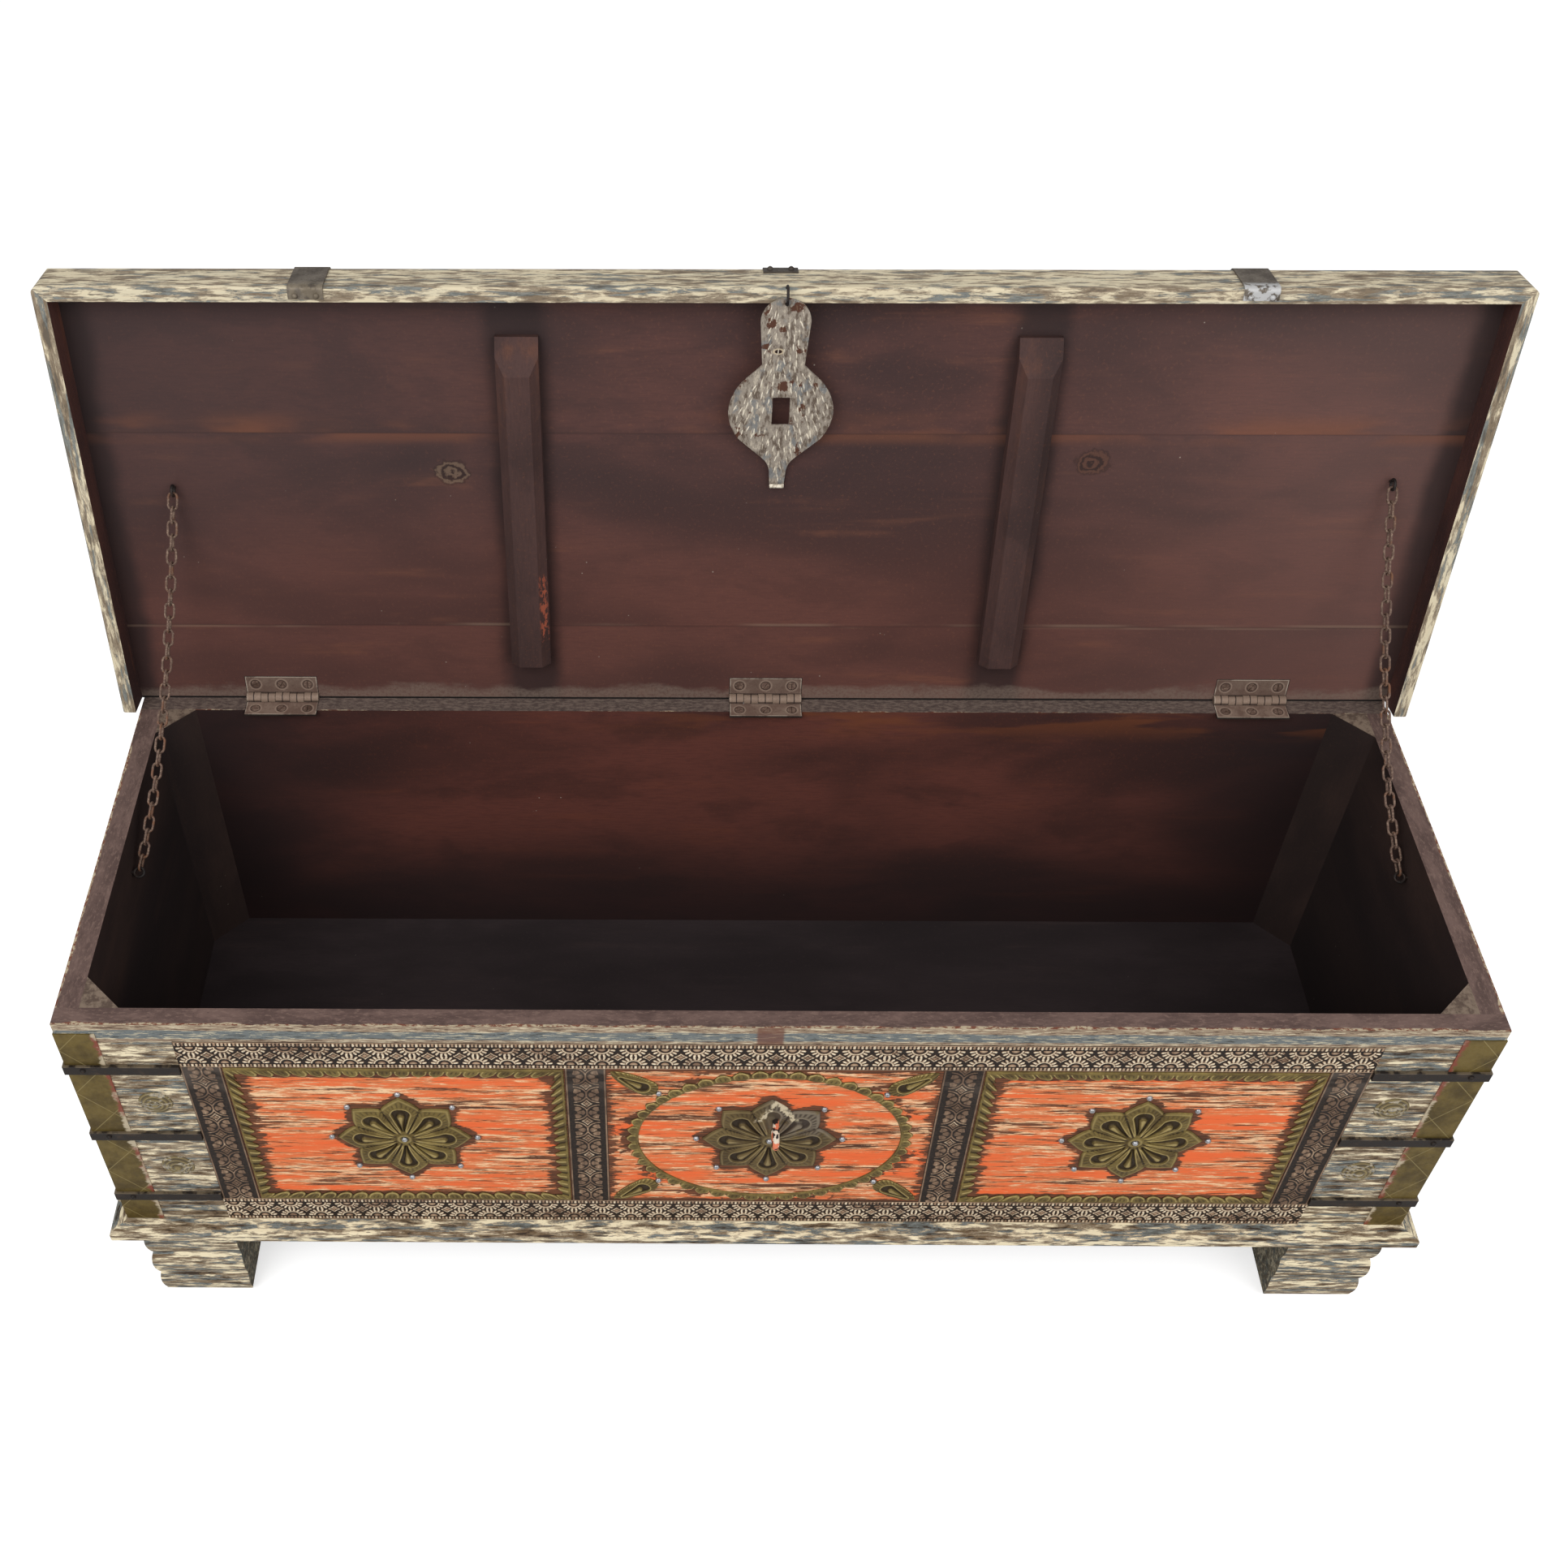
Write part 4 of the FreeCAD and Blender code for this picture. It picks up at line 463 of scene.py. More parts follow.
def lid_board(name, shift, seams=()):
    """A plank of the lid; seams are the runs where its long edges lie."""
    p = Paint(name, on_lid=True)
    x, run, rise = p.split(p.where)
    outer, bumps = weathered(p, "x", shift, 0.4, 0.5, 0.35)
    inner, dents = dark_inside(p, "x", shift, ((62, 44, 43), (96, 62, 56), (132, 84, 62)))
    # cooler and duller at the upper left, redder low down, paler to the right, with painted shade beside
    # battens and rails
    cool = p.ramp(x, 0.05, -0.55) * p.ramp(run, -0.06, -0.36, 0.35, 1.0)
    inner = p.layers(
        inner,
        (cool * 0.62, (58, 46, 46)),
        (p.ramp(run, -0.27, -0.10) * 0.25, (112, 62, 48)),
        (p.ramp(x, 0.15, 0.6, 0.0, 0.3), (116, 90, 84)))
    wobble = (p.noise((70, 90, 70), (3, shift, 3), 0.6, 3) - 0.5) * (26 * MM)
    side = abs(x) + wobble
    # painted shade: dark bands along both sides of each batten and beside the side rails
    for middle, reach in ((LID_BATTEN, 27 * MM), (HALF + 4 * MM, 26 * MM)):
        gap = abs(side - middle)
        inner = p.mix(p.fall(gap, 0.55 * reach, 1.25 * reach, 0.75), inner, (42, 31, 31))
    glow = p.ramp(p.noise((200, 60, 60), (shift, 2, 7), 0.6, 3), 0.46, 0.62)
    for seam, near, colour_near in seams:
        band = p.fall(abs(run - seam), 2 * MM, near * MM)
        inner = p.mix(band * glow * 0.4, inner, colour_near)
        line = p.fall(abs(run - seam), 0.5 * MM, 1.1 * MM)
        inner = p.mix(line * 0.25, inner, (38, 26, 24))
    # two knots
    for knot_x, knot_run, pale_knot in ((-293.3, -245.7, 1), (290.0, -256.8, 0)):
        gap = p.length((x - knot_x * MM) / (17 * MM), (run - knot_run * MM) / (14 * MM), 0.0)
        gap = gap + p.noise(13, 1, 0.65) * 1.3
        swirl = p.ramp(p.math("SINE", gap * 15.0) + p.noise(5, 0, 0.7, 3), -0.4, 1.5)
        knot = p.mix(swirl, (40, 27, 24), (112, 92, 76) if pale_knot else (92, 62, 50))
        inner = p.mix(p.fall(gap, 1.35, 1.75, 0.75), inner, knot)
    # dust along the hinges, over a black band at the lid's lowest edge: painted shade of the gap above the
    # rim
    cloud = p.noise((60, 30, 30), (shift, 1, 1), 0.66)
    grit = p.noise(3, (2, 5, 5), 0.7)
    lift = run + (cloud - 0.5) * (34 * MM)
    veil = p.ramp(lift, -17 * MM, -7 * MM) * p.ramp(grit, 0.3, 0.6, 0.45, 1.0)
    inner = p.layers(
        inner,
        (veil * 0.55, (128, 112, 100)),
        (p.ramp(run, -2.2 * MM, -1.4 * MM), (16, 11, 10)))
    top = rise > 21.8 * MM
    colour = p.mix(top, inner, outer)
    height = bumps * top + dents * (1 - top)
    return p.finish(colour, 0.72, 0.0, height, 0.45, 0.5)


def dark_wood(name, axis, shift, tones, on_lid=False, dusty_top=False):
    p = Paint(name, on_lid)
    colour, height = dark_inside(p, axis, shift, tones, 0.3)
    if on_lid:
        # paint spilt on the left batten
        x, run = p.split(p.where)[:2]
        spill = p.fall(abs(x + 213 * MM), 2 * MM, 5 * MM) * p.fall(abs(run + 112 * MM), 32 * MM, 40 * MM)
        spill = spill * p.ramp(p.noise((5, 11, 5), (3, 3, 2), 0.7), 0.50, 0.56)
        colour = p.mix(spill * 0.8, colour, (176, 92, 66))
    if dusty_top:
        # the corner blocks' tops lie just under the rim and gather dust
        top = p.split(p.where)[2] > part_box("corner_block_back_left")[1].z - 0.4 * MM
        grit = p.noise(8, (1, 1, 6), 0.7)
        colour = p.mix(top, colour, p.mix(p.ramp(grit, 0.38, 0.6), (88, 72, 62), (128, 111, 96)))
    return p.finish(colour, 0.74, 0.0, height, 0.45, 0.5)


def brass(name, shade=1.0, relief=None, paint=0.0, grey=0.0):
    """Dull olive-brown brass, dark where it is deep, brighter on what stands up."""
    def shaded(*colour):
        return tuple(c * shade for c in colour)

    p = Paint(name)
    patch = p.noise((30, 30, 22), 3)
    fine = p.noise(3, 0, 0.7)
    gold = shaded(128, 110, 60)
    dull = shaded(92, 75, 38)
    colour = p.mix(p.ramp(patch, 0.36, 0.64), gold, dull)
    colour = p.mix(p.ramp(fine, 0.5, 0.68) * 0.3, colour, shaded(66, 50, 24))
    if relief:
        level = p.attribute(relief)
        colour = p.mix(p.fall(level, 0.06, 0.42, 0.92), colour, (44, 31, 15))
        bright = p.ramp(level, 0.58, 0.9) * p.ramp(fine, 0.25, 0.55, 0.5, 1.0)
        colour = p.mix(bright * 0.85, colour, shaded(184, 164, 106))
    colour = p.mix(grey, colour, (112, 102, 84))
    metal = 0.4 * (1 - grey)
    if paint:
        cover = p.ramp(p.noise((18, 10, 3.5), (1, 5, 2), 0.65), 0.60 - paint * 0.1, 0.63 - paint * 0.1)
        coat = p.mix(p.ramp(fine, 0.4, 0.6), CREAM_DULL, BLUE)
        colour = p.mix(cover, colour, coat)
        metal = p.fall(cover, 0, 1, metal)
    return p.finish(colour, p.ramp(fine, 0.3, 0.7, 0.42, 0.6), metal, fine * 0.5, 0.3, 0.3)


def iron(name, base=(52, 44, 40), light=(96, 84, 74), rust=(96, 62, 42), share=0.35, metal=0.45, rough=0.5):
    p = Paint(name)
    patch = p.noise(14, (2, 6, 1), 0.65, 5)
    fine = p.noise(2.2, 0, 0.7)
    colour = p.mix(p.ramp(fine, 0.42, 0.72), base, light)
    colour = p.mix(p.ramp(patch, 0.5, 0.66) * (share * 2), colour, rust)
    return p.finish(colour, p.ramp(fine, 0.3, 0.7, rough - 0.08, rough + 0.15), metal, fine, 0.35, 0.35)


def embossed(name, worn_share):
    """Blackened sheet whose raised lines are worn to cream and brown."""
    def shaded(*colour):
        return tuple(c * (1 + 0.2 * worn_share) for c in colour)

    p = Paint(name)
    level = p.attribute("relief")
    patch = p.noise((90, 40, 26), 4, 0.62)
    fine = p.noise((2.4, 2.4, 2.0), 0, 0.65, 3)
    colour = p.mix(p.ramp(fine, 0.36, 0.66), (22, 15, 11), (48, 35, 26))
    brown = p.mix(p.ramp(patch, 0.40, 0.60), shaded(112, 88, 70), shaded(150, 122, 98))
    colour = p.mix(p.ramp(level, 0.22, 0.42, 0.0, 0.85), colour, brown)
    chance = patch * 0.8 + fine * 0.5
    keep = p.ramp(chance, 0.66 - 0.13 * worn_share, 0.74 - 0.13 * worn_share)
    tan = p.ramp(level, 0.48, 0.60) * keep
    colour = p.mix(tan * 0.85, colour, (186, 164, 136))
    worn = p.ramp(level, 0.66, 0.80) * keep
    colour = p.mix(worn * 0.95, colour, p.mix(p.ramp(fine, 0.4, 0.6), (246, 232, 204), (208, 192, 166)))
    if not worn_share:
        # the stiles are greyer and dusty near the upper rail
        high = p.ramp(p.split(p.where)[2], FRAME_HIGH - 95 * MM, FRAME_HIGH - 40 * MM)
        high = high * p.ramp(patch, 0.42, 0.58)
        colour = p.mix(high * 0.35, colour, (116, 104, 94))
    return p.finish(colour, 0.6, 0.1, fine, 0.25, 0.25)


def middle_rosette():
    """The middle rosette, with smears of old paint over its upper petals."""
    p = Paint("middle_rosette_brass")
    x, _, z = p.split(p.where)
    fine = p.noise(3, 0, 0.7)
    level = p.attribute("relief")
    patch = p.noise(26, 3)
    colour = p.mix(p.ramp(patch, 0.35, 0.66), (112, 94, 58), (84, 68, 40))
    colour = p.layers(
        colour,
        (p.fall(level, 0.06, 0.42, 0.92), (42, 30, 18)),
        (p.ramp(level, 0.60, 0.9, 0.0, 0.75), (160, 142, 98)))
    up = z - MIDDLE
    cloud = p.noise((26, 26, 22), 8, 0.65)
    smear = p.ramp(up, -4 * MM, 16 * MM) * p.ramp(x, -16 * MM, 8 * MM)
    smear = smear * p.ramp(cloud, 0.36, 0.50)
    veil = p.mix(p.ramp(level, 0.2, 0.7), (62, 52, 44), (118, 108, 94))
    colour = p.mix(smear * 0.8, colour, veil)
    aside = abs(x - 5 * MM)
    slope = aside - (60 * MM - up) * 0.58
    slope = slope + (p.noise(8, 0, 0.6, 3) - 0.5) * (14 * MM)
    arms = p.fall(abs(slope), 2.0 * MM, 4 * MM) * p.ramp(up, 28 * MM, 33 * MM)
    arms = arms * p.ramp(p.noise(5, (1, 4, 4), 0.65, 3), 0.36, 0.48)
    colour = p.mix(arms * 0.9, colour, (204, 190, 160))
    metal = (1 - p.either(smear, arms)) * 0.35
    return p.finish(colour, p.ramp(fine, 0.3, 0.7, 0.46, 0.64), metal, fine * 0.5, 0.3, 0.3)


def wrap_brass():
    """Olive sheet with engraved diagonals near the corner and paint left on its inner edge."""
    p = Paint("wrap_brass")
    x, y, z = p.split(p.where)
    patch = p.noise(34, 3, 0.62)
    fine = p.noise(3, 0, 0.7)
    colour = p.mix(p.ramp(patch, 0.34, 0.66), (80, 65, 30), (116, 98, 50))
    front = y < FRONT + 0.2 * MM
    run = abs(x) + y * (1 - front)
    lines = None
    for slope in (1.0, -1.0):
        way = run * slope + z * 0.86
        wave = p.math("PINGPONG", way, 27 * MM)
        line = p.fall(wave, 0.25 * MM, 0.9 * MM)
        lines = line if lines is None else p.either(lines, line)
    colour = p.mix(lines * 0.55, colour, (160, 144, 96))
    far = abs(x) + (p.noise((20, 9, 7), (1, 6, 2), 0.65) - 0.5) * (18 * MM)
    paint = p.fall(far, HALF - 33 * MM, HALF - 30 * MM) * front
    coat = p.mix(p.ramp(patch, 0.42, 0.55), CREAM_DULL, (126, 62, 44))
    colour = p.mix(paint, colour, coat)
    height = fine * 0.4 - lines
    return p.finish(colour, p.ramp(fine, 0.3, 0.7, 0.38, 0.58), (1 - paint) * 0.45, height, 0.35, 0.35)


def staple_paint():
    """Iron under chips of orange, black and cream paint."""
    p = Paint("staple_paint")
    one = p.noise((9, 9, 7), (2, 6, 4), 0.5, 2)
    two = p.noise((7, 7, 6), (9, 1, 3), 0.5, 2)
    fine = p.noise(2, 0, 0.6, 3)
    colour = p.mix(p.ramp(one, 0.46, 0.50), (38, 30, 28), (226, 126, 92))
    colour = p.mix(p.ramp(two, 0.55, 0.58), colour, (222, 208, 188))
    return p.finish(colour, 0.6, 0.0, fine, 0.3, 0.3)


def strap_iron():
    """Olive-grey straps; the right one's end is worn bright and the left one's keeps some paint."""
    p = Paint("strap_iron", on_lid=True)
    x, _, rise = p.split(p.where)
    patch = p.noise(16, (2, 6, 1), 0.62)
    fine = p.noise(2.4, 0, 0.7)
    colour = p.mix(p.ramp(patch, 0.36, 0.66), (84, 75, 66), (116, 107, 96))
    colour = p.mix(p.ramp(fine, 0.54, 0.7) * 0.4, colour, (54, 46, 40))
    under = p.ramp(rise, -16 * MM, -24 * MM)
    ragged = p.ramp(p.noise((10, 10, 6), (7, 1, 2), 0.65), 0.42, 0.52)
    right = x > 0.2
    left = x < -0.2
    colour = p.layers(
        colour,
        (under * right * ragged * 0.85, (206, 206, 206)),
        (under * left * ragged * 0.3, (160, 146, 122)))
    dark = abs(x) < 0.1
    colour = p.mix(dark * 0.6, colour, (52, 47, 46))
    return p.finish(colour, p.ramp(fine, 0.3, 0.7, 0.42, 0.66), 0.3, fine, 0.35, 0.35)


def band_iron():
    """Black iron bands with a thin painted highlight along their upper edge."""
    p = Paint("band_iron")
    z = p.split(p.where)[2]
    patch = p.noise((14, 14, 10), (2, 6, 1), 0.62)
    fine = p.noise(2.2, 0, 0.7)
    colour = p.mix(p.ramp(fine, 0.42, 0.72), (30, 24, 21), (52, 42, 35))
    colour = p.mix(p.ramp(patch, 0.56, 0.70, 0.0, 0.35), colour, (78, 60, 46))
    # painted highlight: a thin pale line along each band's upper edge
    for level in (BAND_TOP, BAND_TOP - BAND_PITCH, BAND_TOP - 2 * BAND_PITCH):
        line = p.fall(abs(z - level), 0.7 * MM, 1.3 * MM)
        colour = p.mix(line * 0.5 * p.ramp(patch, 0.4, 0.55), colour, (140, 124, 100))
    return p.finish(colour, p.ramp(fine, 0.3, 0.7, 0.45, 0.65), 0.15, fine, 0.35, 0.35)


def hinge_iron(name, on_lid):
    """A hinge's leaves: brown-grey iron, dark round the screws, with painted highlights and painted shade
    along the edges and on the knuckles.
    """
    p = Paint(name, on_lid)
    x, run = p.split(p.where)[:2]
    depth = abs(run) if on_lid else BACK - run
    patch = p.noise(16, (2, 6, 1), 0.65, 5)
    fine = p.noise(2.2, 0, 0.7)
    colour = p.mix(p.ramp(patch, 0.38, 0.62), (112, 90, 79), (134, 113, 100))
    colour = p.mix(p.ramp(fine, 0.52, 0.68) * 0.5, colour, (88, 68, 60))
    if on_lid:
        colour = p.mix(0.3, colour, (86, 68, 60))
    side = p.math("WRAP", x - 3 * MM, 241.5 * MM, -241.5 * MM)
    rim_gap = p.math("MINIMUM", 36 * MM - abs(side), 25 * MM - depth)
    near = p.math("WRAP", side, 13 * MM, -13 * MM)
    ring = p.length(near, depth - 15.7 * MM, 0.0)
    light = p.ramp(ring, 5.0 * MM, 5.6 * MM) * p.fall(ring, 6.2 * MM, 7.2 * MM)
    colour = p.layers(
        colour,
        (light * 0.5, (164, 142, 126)),
        (p.fall(ring, 4.7 * MM, 5.1 * MM, 0.85), (46, 33, 29)))
    # painted highlight along the leaf's edges, then painted shade in the gap right at the edges
    pale = p.fall(rim_gap, 1.0 * MM, 1.6 * MM)
    colour = p.layers(
        colour,
        (pale * p.ramp(patch, 0.42, 0.55, 0.2, 0.9), (190, 174, 158)),
        (p.fall(rim_gap, 0.35 * MM, 0.7 * MM, 0.95), (30, 22, 20)))
    # painted highlight along the knuckles' crown, and painted shade at their ends between the knuckles
    barrel = p.ramp(depth, 6.3 * MM, 6.0 * MM)
    joint = abs(p.math("WRAP", side + 7.2 * MM, 7.2 * MM, -7.2 * MM))
    colour = p.layers(
        colour,
        (barrel * 0.45, (158, 136, 118)),
        (barrel * p.ramp(joint, 6.5 * MM, 6.8 * MM, 0.0, 0.9), (40, 28, 25)))
    # painted shade where the knuckles meet the leaf
    foot = p.ramp(depth, 5.6 * MM, 6.0 * MM) * p.fall(depth, 6.6 * MM, 7.0 * MM)
    colour = p.mix(foot * 0.75, colour, (40, 28, 25))
    return p.finish(colour, p.ramp(fine, 0.3, 0.7, 0.5, 0.7), 0.15, fine, 0.35, 0.35)


def hasp_paint(name, strokes=False):
    """Grey and cream paint on rusty iron."""
    p = Paint(name)
    x, _, z = p.split(p.where)
    patch = p.noise((15, 15, 18), (2, 6, 1), 0.62)
    chips = p.noise((3.4, 3.4, 9), (4, 2, 8), 0.68)
    fine = p.noise(2, 0, 0.6, 3)
    if strokes:
        colour = p.mix(p.ramp(chips, 0.42, 0.56), (182, 170, 152), (242, 232, 212))
        colour = p.mix(p.ramp(patch, 0.60, 0.66), colour, (112, 84, 66))
    else:
        colour = p.mix(p.ramp(chips, 0.38, 0.52), (104, 90, 78), (158, 147, 134))
        cool = p.noise((13, 13, 22), (7, 7, 1), 0.6, 3)
        colour = p.layers(
            colour,
            (p.ramp(cool, 0.54, 0.62, 0.0, 0.7), (122, 126, 128)),
            (p.ramp(chips, 0.58, 0.62), (190, 178, 160)),
            (p.ramp(patch, 0.59, 0.63), (88, 56, 42)))
        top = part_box("hasp_plate")[1].z
        oval = p.length((x + 1 * MM) / (3.2 * MM), 0.0, (z - (top - 50 * MM)) / (1.9 * MM))
        colour = p.layers(
            colour,
            (p.fall(oval, 1.3, 1.9, 0.8), (206, 188, 158)),
            (p.fall(oval, 0.9, 1.1), (44, 24, 18)))
    return p.finish(colour, 0.66, 0.05, chips + fine * 0.4, 0.35, 0.4)


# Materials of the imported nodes

def dress(patterns, material):
    """Gives the material to the nodes whose names fit one of the patterns."""
    for name in (n for n in nodes if any(fnmatchcase(n, pattern) for pattern in patterns.split())):
        mesh = nodes[name].data
        mesh.materials.clear()
        mesh.materials.append(material)


SEAM_HIGH, SEAM_LOW = -284 * MM, -84 * MM
dress("front_panel", front_wood())
dress("back_panel", box_wood("back_board_paint", "x", 5.0, 0.0, 0.5, WALL))
dress("left_side_panel", box_wood("left_board_paint", "y", 11.0, -0.1, 0.4, SIDE))
dress("right_side_panel", box_wood("right_board_paint", "y", 17.0, -0.1, 0.4, SIDE))
dress("floor_panel", dark_wood("floor_board", "x", 23.0, FLOOR))
dress("corner_block_*", dark_wood("corner_block_wood", "z", 29.0, SIDE, dusty_top=True))
dress("base_moulding_front base_moulding_back", plain_painted("moulding_paint_long", "x", 31.0, 0.5, 0.5))
dress("base_moulding_left base_moulding_right", plain_painted("moulding_paint_short", "y", 37.0, 0.2, 0.5))
dress("foot_*", plain_painted("foot_paint", "x", 41.0, 0.3, 0.45, shaded=True))
dress("lid_board_front", lid_board("lid_plank_front", 43.0, [(SEAM_HIGH, 26, (136, 82, 54))]))
dress("lid_board_middle",
      lid_board("lid_plank_middle", 47.0, [(SEAM_HIGH, 14, (128, 78, 54)), (SEAM_LOW, 4, (140, 116, 98))]))
dress("lid_board_back", lid_board("lid_plank_back", 53.0, [(SEAM_LOW, 3, (132, 106, 90))]))
dress("lid_rail_front", lid_rail("lid_rail_long", "x", 59.0, 0.85))
dress("lid_rail_left lid_rail_right", lid_rail("lid_rail_short", "y", 61.0, 0.35))
dress("lid_batten_*", dark_wood("batten_wood", "y", 67.0, BATTEN, on_lid=True))
dress("scallop_* rosette_* corner_leaves brass_studs", brass("old_brass"))
dress("corner_wrap_*", wrap_brass())
dress("embossed_*", iron("plain_sheet"))
dress("silver_pins", iron("silver_pins", (150, 150, 152), (210, 210, 214), (120, 110, 100), 0.1, 0.9, 0.3))
dress("iron_bands band_nails", band_iron())
dress("hasp_staple", staple_paint())
dress("hinge_box_leaf_*", hinge_iron("hinge_iron_box", False))
dress("hinge_lid_leaf_*", hinge_iron("hinge_iron_lid", True))
dress("*_hinge_screws hinge_pins",
      iron("screw_iron", (104, 82, 72), (150, 128, 112), (80, 60, 50), 0.4, 0.15, 0.55))
dress("*_chain_eyes hasp_ring", iron("eye_iron", (40, 36, 36), (70, 62, 58), (70, 50, 40), 0.2))
dress("chain_*", iron("chain_rust", (98, 76, 66), (160, 136, 118), (120, 82, 60), 0.5, 0.15, 0.6))
dress("lid_straps strap_nails", strap_iron())
dress("hasp_plate", hasp_paint("hasp_paint"))


# Relief of the front's metalwork, as closed meshes on the front board

def add_object(name, mesh):
    item = bpy.data.objects.new(name, mesh)
    bpy.context.scene.collection.objects.link(item)
    return item


def smooth(low, high, value):
    share = np.clip((value - low) / (high - low), 0, 1)
    return share * share * (3 - 2 * share)


def ridge(distance, half):
    """1 on a line, falling to 0 at half a width from it."""
    return 1 - smooth(0.25 * half, half, np.abs(distance))


def shell(x, z, rise, level, wrap=False):
    """A grid in mm, raised off the board, with its edges and its back: corners, faces, relief."""
    along, across = x.shape
    place = np.stack([x * MM, FRONT - rise * MM, z * MM], -1).reshape(-1, 3)
    count = along * across
    low = np.stack([x[:, 0] * MM, np.full(along, FRONT), z[:, 0] * MM], -1)
    high = np.stack([x[:, -1] * MM, np.full(along, FRONT), z[:, -1] * MM], -1)
    points = np.vstack([place, low, high])
    steps = along if wrap else along - 1
    i = np.arange(steps)
    j = (i + 1) % along
    v = np.arange(across - 1)
    grid = np.stack([(i[:, None] * across + v), (j[:, None] * across + v),
                     (j[:, None] * across + v + 1), (i[:, None] * across + v + 1)], -1).reshape(-1, 4)
    last = across - 1
    edges = np.vstack([
        np.stack([j * across, i * across, count + i, count + j], -1),
        np.stack([i * across + last, j * across + last, count + along + j, count + along + i], -1),
        np.stack([count + j, count + i, count + along + i, count + along + j], -1),
    ])
    a, b, c = (points[grid[:, k]] for k in (0, 1, 2))
    faces = grid.tolist() + edges.tolist()
    if not wrap:
        end = count + along
        faces.append(list(range(across)) + [end, count])
        faces.append([(along - 1) * across + k for k in reversed(range(across))] + [end - 1, end + along - 1])
    if np.cross(b - a, c - a)[:, 1].sum() > 0:           # the grid has to face away from the board
        faces = [item[::-1] for item in faces]
    relief = np.concatenate([level.reshape(-1), np.zeros(2 * along)])
    return points, faces, relief, len(grid)


def lathe(x, z, radii, rises, level, steps=56):
    """A turned boss on the front board."""
    angle = np.linspace(0, 2 * math.pi, steps, endpoint=False)[:, None]
    radii, rises, level = (np.array(a, float)[None, :] + 0 * angle for a in (radii, rises, level))
    return shell(x + radii * np.cos(angle), z + radii * np.sin(angle), rises, level, wrap=True)


def piece(name, parts, material, replaced=(), body="chest"):
    """Joins shells into one object that rides on a body."""
    points, faces, relief, smooth_faces, base = [], [], [], [], 0
    for corners, items, level, grid_count in parts:
        points.append(corners)
        relief.append(level)
        faces += [[k + base for k in item] for item in items]
        smooth_faces += [k < grid_count for k in range(len(items))]
        base += len(corners)
    points = np.vstack(points)
    mesh = bpy.data.meshes.new(name)
    mesh.from_pydata(points.tolist(), [], faces)
    mesh.polygons.foreach_set("use_smooth", smooth_faces)
    mesh.attributes.new("relief", "FLOAT", "POINT").data.foreach_set("value", np.concatenate(relief))
    mesh.update()
    mesh.materials.append(material)
    item = add_object(name, mesh)
    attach(item, body)
    if replaced:
        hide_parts(*replaced)
    return item


EMBOSS_PITCH = 1042 / 38


def embossing(u, v, width=36.0, lobed=False):
    """Facing rows of half rosettes, beaded with diamonds between, or lobed: height and relief."""
    a = (u / EMBOSS_PITCH % 1 - 0.5) * EMBOSS_PITCH
    height = 0.32 + 0 * u
    level = 0.05 + 0 * u

    def add(share, rise, tone_level):
        nonlocal height, level
        height = np.maximum(height, 0.32 + share * rise)
        level = np.maximum(level, share * tone_level)

    for w in (v, width - v):
        up = w - 6.4
        r = np.hypot(a, up)
        over = smooth(-0.3, 0.3, up)
        angle = np.arctan2(up, a)
        if lobed:
            lobe = math.pi / 3
            bend = np.abs((angle / lobe % 1 - 0.5) * lobe)
            inside = (1 - smooth(0.40, 0.50, bend)) * (1 - smooth(9.4, 10.6, r + 5 * bend ** 2))
            inside = inside * smooth(2.2, 3.4, r)
            add(over * inside * (0.8 + 0.2 * np.sin(np.floor(u / EMBOSS_PITCH) * 2.1 + w)), 0.9, 0.56)
            add(over * ridge(r - 11.8, 1.0) * 0.9, 0.6, 0.74)
            add(ridge(w - 1.0, 1.1), 0.4, 0.55)
            continue
        add(over * np.sqrt(np.clip(1 - (r / 4.2) ** 2, 0, 1)), 0.75, 0.62)
        add(over * ridge(r - 6.6, 1.25), 0.65, 0.85)
        spoke = math.pi / 8
        turn = (angle / spoke % 1 - 0.5) * spoke
        off = np.hypot(np.clip(np.abs(r * np.cos(turn) - 9.9) - 1.2, 0, None), r * np.sin(turn))
        add(over * (1 - smooth(0.6, 1.4, off)), 1.0, 1.0)
        bead = EMBOSS_PITCH / 8
        k = np.floor(u / bead)
        side = (u / bead % 1 - 0.5) * bead
        off = np.hypot(side, np.clip(np.abs(w - 3.2) - 0.9, 0, None))
        add((1 - smooth(0.7, 1.5, off)) * (0.75 + 0.25 * np.sin(k * 2.4)), 0.9, 1.0)
        add(ridge(w - 0.6, 0.9), 0.35, 0.6)
    b = EMBOSS_PITCH / 2 - np.abs(a)
    star = (b / 5.6) ** 0.75 + (np.abs(v - width / 2) / 4.6) ** 0.75
    add(1 - smooth(0.55, 0.8, star), 0.7, 0.52)
    add(ridge((star - 1.04) * 3.0, 0.6), 0.8, 0.92)
    wear = 0.5 + 0.5 * np.sin(u * 0.071 + 1.3) * np.sin(u * 0.0293 + v * 0.11)
    return height * (0.86 + 0.14 * wear), level


def embossed_strips(material, stile_material):
    low, high = FRAME_LOW / MM, FRAME_HIGH / MM
    half, width = FRAME_HALF / MM, STRIP / MM
    step = 0.75

    def grid(start, end):
        return np.meshgrid(np.linspace(start, end, round((end - start) / step)),
                           np.linspace(0, width, round(width / step)), indexing="ij")

    u, v = grid(-half, half)
    rails = [shell(u, bottom + v, *embossing(u + (bottom == low) * 5, v)) for bottom in (low, high - width)]
    piece("embossed_rail_relief", rails, material, ["embossed_rails"])
    u, v = grid(0, high - low - 2 * width)
    stiles = []
    for index, middle in enumerate((width / 2 - half, -POST / MM, POST / MM, half - width / 2)):
        height, level = embossing(u + index * 3.7, v, lobed=True)
        stiles.append(shell(middle + width / 2 - v, low + width + u, height, level))
    piece("embossed_stile_relief", stiles, stile_material, ["embossed_stiles"])


